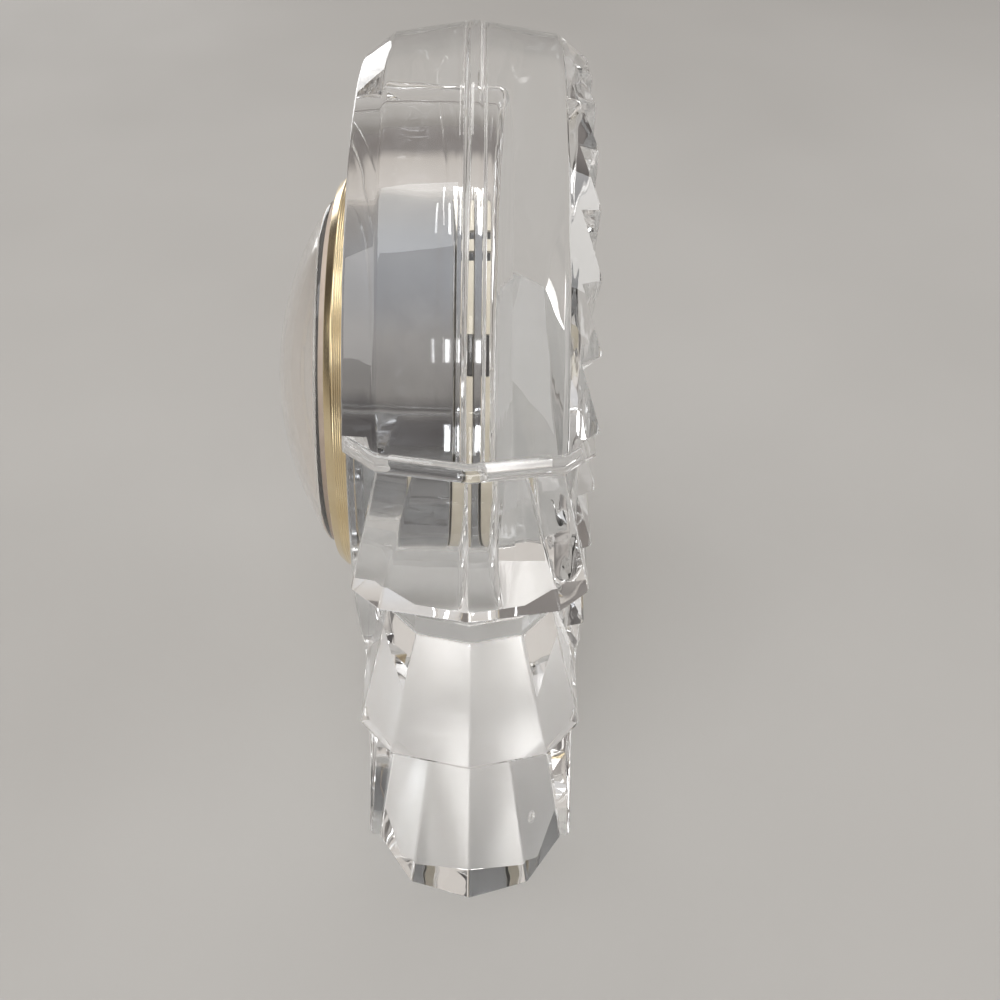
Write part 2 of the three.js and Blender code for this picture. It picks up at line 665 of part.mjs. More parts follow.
const hourWheelLayer = layer(0);
const minuteWheelLayer = layer(1);
const centreWheelLayer = layer(2);
const thirdWheelLayer = layer(3);
const secondsWheelLayer = layer(4);
const fifthWheelLayer = layer(5);
const rotorTop = layer(6)[1];
const rotorBottom = rotorTop - ROTOR_THICKNESS;
const boardFront = rotorTop - BOARD_BELOW_ROTOR;

function hourWheel() {
  const wheel = gear(TEETH.hourWheel, modules.minute, hourWheelLayer, MINUTE_DIRECTION, false);
  const tube = disc(HOUR_TUBE_RADIUS, hourWheelLayer[0], hourHandBottom + HAND_THICKNESS);
  const bore = disc(CANNON_TUBE_RADIUS + RUNNING_GAP, hourWheelLayer[0] - CUT_REACH,
    minuteHandBottom);
  return cut(wheel.add(tube), bore);
}

function cannonPinion() {
  const pinion = gear(
    TEETH.cannonPinion, modules.cannon, minuteWheelLayer, MINUTE_DIRECTION, false);
  const tube = disc(CANNON_TUBE_RADIUS, centreWheelLayer[0], minuteHandBottom + HAND_THICKNESS);
  const bore = disc(
    ARBOR_RADIUS + RUNNING_GAP, centreWheelLayer[0] - CUT_REACH, secondHandBottom);
  return cut(pinion.add(tube), bore);
}

function minuteWheel() {
  const wheel = gear(TEETH.minuteWheel, modules.cannon, minuteWheelLayer,
    MINUTE_DIRECTION + OPPOSITE, true);
  const pinion = gear(TEETH.minutePinion, modules.minute, [minuteWheelLayer[0], hourWheelLayer[1]],
    MINUTE_DIRECTION + OPPOSITE, true);
  const bore = disc(ARBOR_RADIUS + RUNNING_GAP, minuteWheelLayer[0] - CUT_REACH, frontPlateTop);
  return cut(wheel.add(pinion), bore).translate([...minutePlace, 0]);
}

function centreWheel() {
  const wheel = gear(TEETH.centreWheel, modules.third, centreWheelLayer, THIRD_DIRECTION, false);
  return cut(wheel, disc(CANNON_TUBE_RADIUS + RUNNING_GAP, centreWheelLayer[0] - CUT_REACH,
    centreWheelLayer[1] + CUT_REACH));
}

function thirdWheel() {
  const facing = THIRD_DIRECTION + OPPOSITE;
  const wheel = gear(TEETH.thirdWheel, modules.seconds, thirdWheelLayer, facing, true);
  const pinion = gear(TEETH.thirdPinion, modules.third,
    [thirdWheelLayer[0], centreWheelLayer[1]], facing, true);
  return joined(wheel, pinion, arbor(frontPlateBottom, rearPlateFront))
    .translate([...thirdPlace, 0]);
}

function secondsWheel() {
  const wheel = gear(TEETH.secondsWheel, modules.fifth, secondsWheelLayer, FIFTH_DIRECTION, false);
  const pinion = gear(TEETH.secondsPinion, modules.seconds,
    [secondsWheelLayer[0], thirdWheelLayer[1]], THIRD_DIRECTION, false);
  const shaft = disc(
    ARBOR_RADIUS, rearPlateFront + SHOULDER_GAP, secondHandBottom - PRESS_GAP, PIN_SEGMENTS);
  const pivot = disc(PIVOT_RADIUS, rearPlateFront - PIVOT_REACH,
    rearPlateFront + SHOULDER_GAP + WELD, PIN_SEGMENTS);
  return joined(wheel, pinion, shaft, pivot);
}

function fifthWheel() {
  const wheel = gear(TEETH.fifthWheel, modules.rotor, fifthWheelLayer, FIFTH_DIRECTION, false);
  const pinion = gear(TEETH.fifthPinion, modules.fifth,
    [fifthWheelLayer[0], secondsWheelLayer[1]], FIFTH_DIRECTION + OPPOSITE, true);
  return joined(wheel, pinion, arbor(frontPlateBottom, rearPlateFront))
    .translate([...fifthPlace, 0]);
}

function rotor() {
  const pinion = gear(TEETH.rotorPinion, modules.rotor, [rotorTop, fifthWheelLayer[1]],
    FIFTH_DIRECTION + OPPOSITE, true);
  const magnet = disc(ROTOR_RADIUS, rotorBottom, rotorTop + WELD / 2);
  return joined(magnet, pinion, arbor(frontPlateBottom, rearPlateFront))
    .translate([...rotorPlace, 0]);
}

// Setting knob on the back, whose pinion meshes with the minute wheel

function settingKnob() {
  const teeth = TEETH.cannonPinion;
  const pinion = gear(teeth, modules.cannon, minuteWheelLayer, MINUTE_DIRECTION + OPPOSITE, false);
  const headFront = capBack + KNOB_THICKNESS;
  const shaft = disc(KNOB_SHAFT_RADIUS, headFront - WELD, minuteWheelLayer[0] + WELD);
  const head = disc(KNOB_RADIUS, capBack, headFront);
  const slot = plate(
    2 * KNOB_RADIUS + CUT_REACH, KNOB_SLOT_WIDTH, capBack - CUT_REACH, capBack + KNOB_SLOT_DEPTH);
  return joined(pinion, shaft, cut(head, slot)).translate([...knobPlace, 0]);
}

// Movement housing

const coilPlace = [0, -COIL_BELOW_CENTRE];
const coilHeight = rotorBottom + ROTOR_THICKNESS / 2;
const screwFromCentre = HOUSING_RADIUS + SCREW_OUTSIDE_WALL;
const lugBack = rearPlateFront + SEAT_GAP / 2;

function screwPlaces() {
  return SCREW_DIRECTIONS.map((direction) => polar(screwFromCentre, direction));
}

// The same round form at several places
function discs(places, radius, bottom, top, segments = SMALL_SEGMENTS) {
  return places.map((place) => disc(radius, bottom, top, segments).translate([...place, 0]));
}

// Posts that carry the circuit board, near three of its corners
function boardPosts() {
  const x = BOARD.width / 2 - 2 * POST_RADIUS;
  const y = BOARD.height / 2 - 2 * POST_RADIUS;
  return [[-x, -y], [x, -y], [x, y]].map(([dx, dy]) => [BOARD.x + dx, BOARD.y + dy]);
}

function pivotHoles(places, bottom, top) {
  return discs(
    places, PIVOT_RADIUS + PIVOT_CLEARANCE, bottom - CUT_REACH, top + CUT_REACH, PIN_SEGMENTS);
}

function movementBase() {
  const stem = disc(STEM_RADIUS, frontPlateTop - WELD, stemTop);
  const stemBore = disc(STEM_BORE_RADIUS, frontPlateBottom - CUT_REACH, stemTop + CUT_REACH);
  const [minutePost] = discs(
    [minutePlace], ARBOR_RADIUS, minuteWheelLayer[0], frontPlateBottom + WELD, PIN_SEGMENTS);
  const wall = ring(HOUSING_RADIUS - HOUSING_WALL, HOUSING_RADIUS, lugBack, frontPlateTop);
  const lugs = discs(screwPlaces(), LUG_RADIUS, lugBack, frontPlateTop);
  const screwHoles = discs(
    screwPlaces(), SCREW_RADIUS + SCREW_CLEARANCE, lugBack - CUT_REACH, frontPlateBottom);
  const front = disc(HOUSING_RADIUS, frontPlateBottom, frontPlateTop, INSERT_SEGMENTS);
  const holes = pivotHoles([thirdPlace, fifthPlace, rotorPlace], frontPlateBottom, frontPlateTop);
  const shell = cut(joined(front, stem, wall, ...lugs), stemBore, ...holes, ...screwHoles);
  return shell.add(minutePost);
}

function movementCover() {
  const back = disc(HOUSING_RADIUS, rearPlateBack, rearPlateFront, INSERT_SEGMENTS);
  const lugs = discs(screwPlaces(), LUG_RADIUS, rearPlateBack, rearPlateFront);
  const wellRadius = BATTERY_RADIUS + RUNNING_GAP;
  const well = ring(
    wellRadius, BATTERY_RADIUS + WELL_WALL, capFront + SEAT_GAP, rearPlateFront, SMALL_SEGMENTS)
    .translate([...batteryPlace, 0]);
  const wellHole = discs([batteryPlace], wellRadius, capFront, rearPlateFront + CUT_REACH);
  const contactSlot = plate(
    CONTACT_SLOT.width, CONTACT_WIDTH + 2 * RUNNING_GAP, rearPlateBack - POSITIVE_DROP,
    rearPlateFront + CUT_REACH, BATTERY_RADIUS + CONTACT_SLOT.outside, batteryPlace[1]);
  const knobHole = discs(
    [knobPlace], KNOB_SHAFT_RADIUS + RUNNING_GAP, rearPlateBack - CUT_REACH,
    rearPlateFront + CUT_REACH);
  const screwHoles = discs(
    screwPlaces(), SCREW_RADIUS + SCREW_CLEARANCE, rearPlateBack - CUT_REACH,
    rearPlateFront + CUT_REACH);
  const pivots = pivotHoles(
    [thirdPlace, fifthPlace, rotorPlace, [0, 0]], rearPlateBack, rearPlateFront);
  const posts = discs(
    boardPosts(), POST_RADIUS, rearPlateFront - WELD, boardFront - BOARD_THICKNESS - RUNNING_GAP);
  return cut(joined(back, ...lugs, well, ...posts), ...wellHole, contactSlot, ...knobHole,
    ...screwHoles, ...pivots);
}

function coverScrew(place) {
  const headFront = rearPlateBack - SEAT_GAP / 2;
  const head = disc(SCREW_HEAD_RADIUS, headFront - SCREW_HEAD_HEIGHT, headFront);
  const shank = disc(SCREW_RADIUS, headFront - WELD, rearPlateFront + SCREW_REACH);
  return joined(head, shank).translate([...place, 0]);
}

// The two-pole plate round the rotor, with an arm to the coil's core
function stator() {
  const [rx, ry] = rotorPlace;
  const bottom = coilHeight - CORE_THICKNESS / 2;
  const top = coilHeight + CORE_THICKNESS / 2;
  const [round] = discs([rotorPlace], ROTOR_RADIUS + STATOR_RING_WIDTH, bottom, top);
  const arm = plate(
    STATOR_ARM_WIDTH, Math.abs(coilPlace[1] - ry) + CORE_WIDTH / 2, bottom, top,
    rx + STATOR_ARM_WIDTH, (coilPlace[1] - CORE_WIDTH / 2 + ry) / 2);
  const [hole] = discs(
    [rotorPlace], ROTOR_RADIUS + ROTOR_CLEARANCE, bottom - CUT_REACH, top + CUT_REACH);
  return cut(round.add(arm), hole);
}

function coilCore() {
  const left = rotorPlace[0] + 1.5 * STATOR_ARM_WIDTH + SEAT_GAP;
  const right = coilPlace[0] + COIL_LENGTH / 2 + CORE_OVERHANG;
  return plate(right - left, CORE_WIDTH, coilHeight - CORE_THICKNESS / 2,
    coilHeight + CORE_THICKNESS / 2, (left + right) / 2, coilPlace[1]);
}

function alongX(solid) {
  return solid.rotate([0, 90, 0]).translate([coilPlace[0], coilPlace[1], coilHeight]);
}

function coilBobbin() {
  const half = COIL_LENGTH / 2;
  const inside = half - BOBBIN_FLANGE;
  const hub = COIL_RADIUS - BOBBIN_DEPTH;
  const body = turned([
    [0, -half], [COIL_RADIUS, -half], [COIL_RADIUS, -inside], [hub, -inside],
    [hub, inside], [COIL_RADIUS, inside], [COIL_RADIUS, half], [0, half],
  ], SMALL_SEGMENTS);
  const slotHalf = CORE_THICKNESS / 2 + CORE_CLEARANCE;
  const slot = plate(COIL_LENGTH + CUT_REACH, CORE_WIDTH + 2 * CORE_CLEARANCE,
    coilHeight - slotHalf, coilHeight + slotHalf, coilPlace[0], coilPlace[1]);
  return cut(alongX(body), slot);
}

function coilWinding() {
  const half = COIL_LENGTH / 2 - BOBBIN_FLANGE - RUNNING_GAP;
  return alongX(ring(COIL_RADIUS - BOBBIN_DEPTH + RUNNING_GAP, COIL_RADIUS + WINDING_PROUD,
    -half, half, SMALL_SEGMENTS));
}

// Circuit board with the chip and the oscillator can

function circuitBoard() {
  return plate(BOARD.width, BOARD.height, boardFront - BOARD_THICKNESS, boardFront,
    BOARD.x, BOARD.y);
}

function chipCover() {
  const seat = boardFront + SOLDER_GAP;
  return turned([[0, seat], ...dome(CHIP.radius, seat, CHIP.height)], SMALL_SEGMENTS)
    .translate([BOARD.x + CHIP.x, BOARD.y + CHIP.y, 0]);
}

function oscillatorCan() {
  const half = OSCILLATOR.length / 2;
  return disc(OSCILLATOR.radius, -half, half).rotate([90, 0, 0])
    .translate([BOARD.x + OSCILLATOR.x, BOARD.y, boardFront + OSCILLATOR.radius + SOLDER_GAP]);
}

// Button cell with its two contact strips

const batteryBack = capFront + SEAT_GAP + RUNNING_GAP;
const batteryFront = batteryBack + BATTERY_THICKNESS;

function batteryCell() {
  const stepFront = batteryFront - BATTERY_STEP;
  const capRadius = BATTERY_RADIUS - BATTERY_RIM;
  return turned([
    [0, batteryBack], [BATTERY_RADIUS, batteryBack], [BATTERY_RADIUS, stepFront],
    [capRadius, stepFront], [capRadius, batteryFront], [0, batteryFront],
  ], 2 * SMALL_SEGMENTS).translate([...batteryPlace, 0]);
}

// A strip across the front of the cell, which leads to the board
function negativeContact() {
  const bottom = batteryFront + CONTACT_GAP;
  return plate(NEGATIVE_REACH, CONTACT_WIDTH, bottom, bottom + CONTACT_THICKNESS,
    NEGATIVE_START + NEGATIVE_REACH / 2, batteryPlace[1] - NEGATIVE_OFFSET);
}

// A strip that stands beside the cell in a slot of the well, with a foot towards the board
function positiveContact() {
  const side = BATTERY_RADIUS + CONTACT_GAP;
  const footBottom = rearPlateFront + CONTACT_GAP;
  const footTop = footBottom + CONTACT_THICKNESS;
  const stem = plate(CONTACT_THICKNESS, CONTACT_WIDTH, footBottom - POSITIVE_DROP, footTop,
    side + CONTACT_THICKNESS / 2, batteryPlace[1]);
  const foot = plate(POSITIVE_FOOT, CONTACT_WIDTH, footBottom, footTop,
    side + POSITIVE_FOOT / 2, batteryPlace[1]);
  return stem.add(foot);
}

// Assembly

function mesh(name, finish, solid) {
  const material = new THREE.MeshStandardMaterial(finishes[finish]);
  const node = new THREE.Mesh(geometryOf(solid), material);
  node.name = name;
  return node;
}

const insert = new THREE.Group();
insert.rotation.x = Math.PI / 2;
insert.position.set(0, -BODY_THICKNESS / 2, CENTRE_HEIGHT);
insert.add(
  mesh('bezel', 'gilt', bezel()),
  mesh('lens', 'lens', lens()),
  mesh('case_cup', 'plated', caseCup()),
  mesh('retaining_band', 'rubber', retainingBand()),
  mesh('back_cap', 'cream', backCap()),
  mesh('battery_hatch', 'cream', batteryHatch()),
  mesh('setting_knob', 'black', settingKnob()),
  mesh('dial_plate', 'dial', dialPlate()),
  mesh('dial_nut', 'brass', dialNut()),
  mesh('hour_hand', 'black', hourHand()),
  mesh('minute_hand', 'black', minuteHand()),
  mesh('second_hand', 'gilt', secondHand()),
  mesh('movement_base', 'black', movementBase()),
  mesh('movement_cover', 'black', movementCover()),
  ...screwPlaces().map((place, i) => mesh(`cover_screw_${i + 1}`, 'steel', coverScrew(place))),
  mesh('hour_wheel', 'nylon', hourWheel()),
  mesh('minute_wheel', 'nylon', minuteWheel()),
  mesh('cannon_pinion', 'nylon', cannonPinion()),
  mesh('centre_wheel', 'nylon', centreWheel()),
  mesh('third_wheel', 'nylon', thirdWheel()),
  mesh('seconds_wheel', 'nylon', secondsWheel()),
  mesh('fifth_wheel', 'nylon', fifthWheel()),
  mesh('rotor', 'steel', rotor()),
  mesh('stator', 'steel', stator()),
  mesh('coil_core', 'steel', coilCore()),
  mesh('coil_bobbin', 'nylon', coilBobbin()),
  mesh('coil_winding', 'copper', coilWinding()),
  mesh('circuit_board', 'board', circuitBoard()),
  mesh('chip_cover', 'black', chipCover()),
  mesh('oscillator_can', 'steel', oscillatorCan()),
  mesh('battery_cell', 'steel', batteryCell()),
  mesh('negative_contact', 'brass', negativeContact()),
  mesh('positive_contact', 'brass', positiveContact()),
);

const clock = new THREE.Group();
clock.add(mesh('crystal_body', 'crystal', crystalBody()), insert);

export default clock;
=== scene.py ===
"""Crystal mantel clock: fine shapes, finishes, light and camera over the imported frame.

The named sizes are millimetres, in the frame's own axes: +Z up, the dial facing -Y, and the
origin under the middle of the crystal. Heights along the insert's axis are measured out of the
dial from the crystal's front face, so what is inside the recess has a height below 0.
"""

import math

import bmesh
import bpy
from mathutils import Matrix, Vector


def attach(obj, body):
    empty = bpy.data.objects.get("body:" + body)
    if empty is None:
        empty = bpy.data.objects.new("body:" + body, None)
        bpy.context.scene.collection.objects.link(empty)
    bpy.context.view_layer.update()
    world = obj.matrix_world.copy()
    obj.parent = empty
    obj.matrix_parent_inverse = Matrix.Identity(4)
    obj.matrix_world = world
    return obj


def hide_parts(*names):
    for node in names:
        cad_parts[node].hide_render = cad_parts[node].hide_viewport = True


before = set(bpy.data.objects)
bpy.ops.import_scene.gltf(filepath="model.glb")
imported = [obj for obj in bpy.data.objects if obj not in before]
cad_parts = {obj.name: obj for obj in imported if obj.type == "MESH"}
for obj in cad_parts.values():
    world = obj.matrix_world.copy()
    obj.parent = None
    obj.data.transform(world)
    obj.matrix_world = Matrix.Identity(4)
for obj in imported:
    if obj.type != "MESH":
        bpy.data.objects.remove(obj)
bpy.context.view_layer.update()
MM = 0.001

# Crystal
BODY_THICKNESS = 38
CENTRE_HEIGHT = 66
HEAD_RIDGE_RADIUS = 62.8
HEAD_CORNER_RADIUS = 60.7
HEAD_CORNER_OFFSET = 13.8
HEAD_FACE_RADIUS = 56.8
NECK_HEIGHT = CENTRE_HEIGHT + 23.8
CORE_RADIUS = 51.7
FLUTE_COUNT = 32
FLUTE_DEPTH = 3
FLUTE_LAND = 0.3
FLUTE_OVERLAP = 0.05
FLUTE_STEEP_SHARE = 0.12
FOOT_TOP_HALF_WIDTH = 42.6
FOOT_WAIST_HALF_WIDTH = 43.5
FOOT_HALF_WIDTH = 57
FOOT_TOP = 36
FOOT_WAIST_HEIGHT = 13
GROOVE_INSET = 3.5
GROOVE_OVERLAP = 1
SKIRT_BASE = 31
SKIRT_INSET = 0.3
RECESS_RADIUS = 33.6
RECESS_DEPTH = 21
TIERS = [
    {
        "top": 91.5, "base": 64.5, "lean": {"ridge": 5.1, "bevel": 7.3, "face": 6.1},
        "outline": {"ridge": 62.4, "corner": 59.7, "outer": 55.3,
                    "corner_half": 14.2, "outer_half": 18.9},
    },
    {
        "top": 60.3, "base": 39.6, "lean": {"ridge": 8.7, "bevel": 8.3, "face": 5},
        "outline": {"ridge": 71.2, "corner": 68.2, "outer": 61.6,
                    "corner_half": 12.7, "outer_half": 18.2},
    },
    {
        "top": 37.5, "base": 0, "lean": {"ridge": 9.1, "bevel": 8.1, "face": 5.8},
        "outline": {"ridge": 70.7, "corner": 67.3, "outer": 57.5,
                    "corner_half": 10.7, "outer_half": 17.1},
    },
]

# How far the pressed edges of the crystal are rounded
RIDGE_ROUND = 0.3
CORNER_ROUND = 0.6
FACE_ROUND = 0.6
TIER_ROUND = 0.4
RECESS_END_ROUND = 2

# The rounded roll at the neck: its radius, how far it stands out at the sides, how far its ends
# stay inside the front and back, and how far its middle lies above the neck, as a share of it
NECK_BEAD = 1.7
NECK_BEAD_PROUD = 0.5
NECK_BEAD_SUNK = 0.6
NECK_BEAD_LIFT = 0.5

# The narrow bead along the ridge of the head, by its distance from the ridge plane and its
# depth under the ridge
RIDGE_BEAD = [(1.9, 0.28), (1.5, 0.42), (0.95, 0.14), (0.35, 0.02)]

# The ground area of the underside, inside a polished rim
GROUND_HALF_LENGTH = 61
GROUND_HALF_WIDTH = 11
GROUND_DEPTH = 0.04
FACING_DOWN = -0.99

# How far solids that cut the crystal reach past its surface
CUT_MARGIN = 3
CORE_CUT_MARGIN = 0.5
GROUND_CUT_MARGIN = 1

# A small fault in the glass: a bubble under a lower facet
BUBBLE_PLACE = (60, 10.2, 11)
BUBBLE_RADIUS = 1.1
BUBBLE_STRETCH = 1.3
BUBBLE_DETAIL = 3

# Insert
SEAT_GAP = 0.3
BEZEL_RADIUS = 36
BEZEL_SIDE = 3.6
BEZEL_CHAMFER = 1.4
BEZEL_CHAMFER_IN = 1.3
BEZEL_LIP = 0.9
BEZEL_LINES = 9
BEZEL_LINE_DEPTH = 0.07
BEZEL_LINE_SHAPE = [(0.2, 0), (0.5, BEZEL_LINE_DEPTH), (0.8, 0)]
BEZEL_PLAIN_EDGE = 0.25
BEZEL_ROUND = 0.25
LENS_RADIUS = 31.6
LENS_WALL = 1.6
LENS_RIM_PROUD = 1.9
LENS_DOME_RISE = 9.8
LENS_ROUND = 0.7
CUP_RADIUS = 32.6
CUP_WALL = 0.7
CUP_DEPTH = 17.9
CUP_FLANGE_INSET = 4
CUP_ROUND = 0.6
BACK_CAP_RADIUS = 32
BACK_CAP_THICKNESS = 2.3
# Black blocks set in the back cap's slots as painted shade for the dark inside them: each slot's
# direction in degrees and its width, then the blocks' gap, depth and rounding
SHADED_SLOTS = [
    (41, 5.7), (66.4, 1.6), (72.7, 1.6), (139, 5.7), (113.6, 1.6), (107.3, 1.6),
    (221, 5.7), (319, 5.7),
]
SHADE_BLOCK_GAP = 0.15
SHADE_BLOCK_DEPTH = 1.5
SHADE_BLOCK_ROUND = 0.1
DIAL_FRONT = -0.5
PRINT_THICKNESS = 0.03
NUMBER_RADIUS = 22.6
NUMBER_SIZE = 5.2
TRACK_RADIUS = 28
MINUTE_MARK = (0.25, 1.1)
HOUR_MARK = (0.7, 1.9)

# Smoothness of the round forms, how much of an edge a rounding may take, how strongly large
# faces lead the shading, and how near points are merged
CRYSTAL_SEGMENTS = 256
INSERT_SEGMENTS = 192
ARC_STEPS = 5
DOME_STEPS = 24
NECK_STEPS = 8
TIER_EDGE_STEPS = 3
ROUND_LIMIT = 0.49
FACET_WEIGHT = 100
WELD = 0.002

# Floor and room. The room is bright above, darker and warmer low down, with dark bays towards -Y.
# Its stops run from level to straight up, and those of the bays from sideways to straight at -Y.
FLOOR_REACH = 2500
FLOOR_DROP = 0.2
ROOM = [
    (0, (0.24, 0.22, 0.21)), (0.12, (0.2, 0.18, 0.17)), (0.28, (0.22, 0.2, 0.19)),
    (0.42, (0.52, 0.48, 0.44)), (0.8, (0.66, 0.62, 0.58)), (1, (0.72, 0.72, 0.73)),
]
BAYS = [
    (0.58, (1, 1, 1)), (0.62, (0.25, 0.25, 0.26)), (0.68, (0.25, 0.25, 0.26)),
    (0.71, (0.85, 0.85, 0.86)), (0.78, (0.8, 0.8, 0.81)), (0.84, (0.3, 0.3, 0.31)),
]
BACKDROP = (0.5, 0.485, 0.465)

# Lamps: name, place, width and height, brightness against white, colour, the axis along which
# the width runs, and the kinds of ray that don't see the lamp
WARM = (1, 0.99, 0.97)
LAMPS = [
    ("overhead", (-330, -58, 600), (100, 260), 4.2, WARM, "Y", []),
    ("ahead", (430, -40, 540), (140, 120), 3, WARM, "Y", []),
    ("key", (160, -80, 600), (360, 360), 2.4, WARM, "Y", ["glossy", "transmission"]),
    ("panel", (50, -235, 620), (260, 220), 2.8, (0.93, 0.97, 1), "Y", []),
    ("window", (-150, 520, 380), (300, 260), 3.2, (0.96, 0.98, 1), "X", []),
    ("fill", (60, -560, 300), (300, 240), 1.8, (1, 0.98, 0.96), "X", []),
    ("card", (-440, -215, 85), (200, 170), 2.6, (0.98, 0.99, 1), "Y", ["diffuse"]),
    ("strip", (560, 0, 120), (70, 180), 6, (1, 1, 1), "Y", ["diffuse"]),
]

# Bounces of light, enough for the thick crystal
MAX_BOUNCES = 28
GLOSSY_BOUNCES = 10
TRANSPARENT_BOUNCES = 24

# Camera: where the photograph was taken from, and how it was held
CAMERA_PLACE = (200, 2, 214.2)
CAMERA_LENS = 47.34
CAMERA_SENSOR = 36
CAMERA_CLIP = 5
CAMERA_PITCH = 42
CAMERA_YAW = -0.95
CAMERA_ROLL = 1.2


# Shapes

def on_axis(radius, angle, height):
    """A point round the insert's axis, in metres."""
    half = BODY_THICKNESS / 2
    return Vector((
        radius * math.cos(angle), -half - height, CENTRE_HEIGHT + radius * math.sin(angle),
    )) * MM


def rounded(points, closed=False):
    """A profile with its corners rounded. Each point is (radius, height, rounding)."""
    made = []
    count = len(points)
    for i, (radius, height, rounding) in enumerate(points):
        corner = Vector((radius, height))
        if not rounding or (not closed and i in (0, count - 1)):
            made.append(corner)
            continue
        before = Vector(points[i - 1][:2])
        after = Vector(points[(i + 1) % count][:2])
        reach_in = min(rounding, (before - corner).length * ROUND_LIMIT)
        reach_out = min(rounding, (after - corner).length * ROUND_LIMIT)
        start = corner + (before - corner).normalized() * reach_in
        end = corner + (after - corner).normalized() * reach_out
        for step in range(ARC_STEPS + 1):
            share = step / ARC_STEPS
            made.append(start.lerp(corner, share).lerp(corner.lerp(end, share), share))
    return [tuple(point) for point in made]


def lathe(profile, segments, closed=False):
    """A turned form round the insert's axis from (radius, height) pairs."""
    mesh = bmesh.new()
    rings = []
    for radius, height in profile:
        count = segments if radius > 0 else 1
        rings.append([
            mesh.verts.new(on_axis(radius, 2 * math.pi * i / segments, height))
            for i in range(count)
        ])
    pairs = list(zip(rings, rings[1:]))
    if closed:
        pairs.append((rings[-1], rings[0]))
    for lower, upper in pairs:
        for i in range(segments):
            j = (i + 1) % segments
            corners = [
                lower[i % len(lower)], lower[j % len(lower)],
                upper[j % len(upper)], upper[i % len(upper)],
            ]
            corners = list(dict.fromkeys(corners))
            if len(corners) > 2:
                mesh.faces.new(corners)
    bmesh.ops.recalc_face_normals(mesh, faces=mesh.faces)
    return mesh


def join_rings(mesh, rings):
    """Adds a closed solid through rings of points in metres. Gives back its two end faces."""
    made = [[mesh.verts.new(point) for point in ring] for ring in rings]
    count = len(made[0])
    for lower, upper in zip(made, made[1:]):
        for i in range(count):
            j = (i + 1) % count
            mesh.faces.new([lower[i], lower[j], upper[j], upper[i]])
    return [mesh.faces.new(made[0]), mesh.faces.new(made[-1])]


def stacked(levels):
    """A solid through outlines of (x, y) points, each with its height above the ground."""
    mesh = bmesh.new()
    join_rings(mesh, [[Vector((x, y, z)) * MM for x, y in outline] for outline, z in levels])
    bmesh.ops.recalc_face_normals(mesh, faces=mesh.faces)
    return mesh


def lofted(lower, upper, base, top):
    """A solid between two outlines, one at each height."""
    return stacked([(lower, base), (upper, top)])


def box_between(low, high):
    """A box from its lowest to its highest corner."""
    corners = [(low[0], low[1]), (high[0], low[1]), (high[0], high[1]), (low[0], high[1])]
    return lofted(corners, corners, low[2], high[2])


def bevelled(mesh, width, edges=None, segments=2):
    """The mesh with its edges rounded by width millimetres."""
    chosen = list(edges if edges is not None else mesh.edges)
    bmesh.ops.bevel(
        mesh, geom=chosen, offset=width * MM, segments=segments, profile=0.5,
        affect="EDGES", clamp_overlap=True)
    return mesh


def object_from(name, mesh):
    """Turns a mesh under construction into an object of the scene."""
    data = bpy.data.meshes.new(name)
    mesh.to_mesh(data)
    mesh.free()
    made = bpy.data.objects.new(name, data)
    bpy.context.scene.collection.objects.link(made)
    return made


def combine(base, tool, operation):
    """Applies one boolean to base and removes the tool."""
    modifier = base.modifiers.new(operation, "BOOLEAN")
    modifier.operation = operation
    modifier.object = tool
    modifier.solver = "EXACT"
    depsgraph = bpy.context.evaluated_depsgraph_get()
    result = bpy.data.meshes.new_from_object(base.evaluated_get(depsgraph))
    base.modifiers.clear()
    base.data = result
    bpy.data.objects.remove(tool)
    return base


def fill_ramp(node, stops):
    """Sets the (position, colour) stops of a colour ramp."""
    elements = node.color_ramp.elements
    while len(elements) < len(stops):
        elements.new(0.5)
    for element, (position, colour) in zip(elements, stops):
        element.position = position
        element.color = (*colour, 1)


def finish_piece(piece, body, material, stands_for=(), smooth_angle=30):
    """Shades a piece, gives it its finish and fixes it to its body."""
    data = piece.data
    data.materials.clear()
    data.materials.append(material)
    data.polygons.foreach_set("use_smooth", [True] * len(data.polygons))
    data.set_sharp_from_angle(angle=math.radians(smooth_angle))
    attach(piece, body)
    if stands_for:
        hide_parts(*stands_for)
    return piece


# Finishes

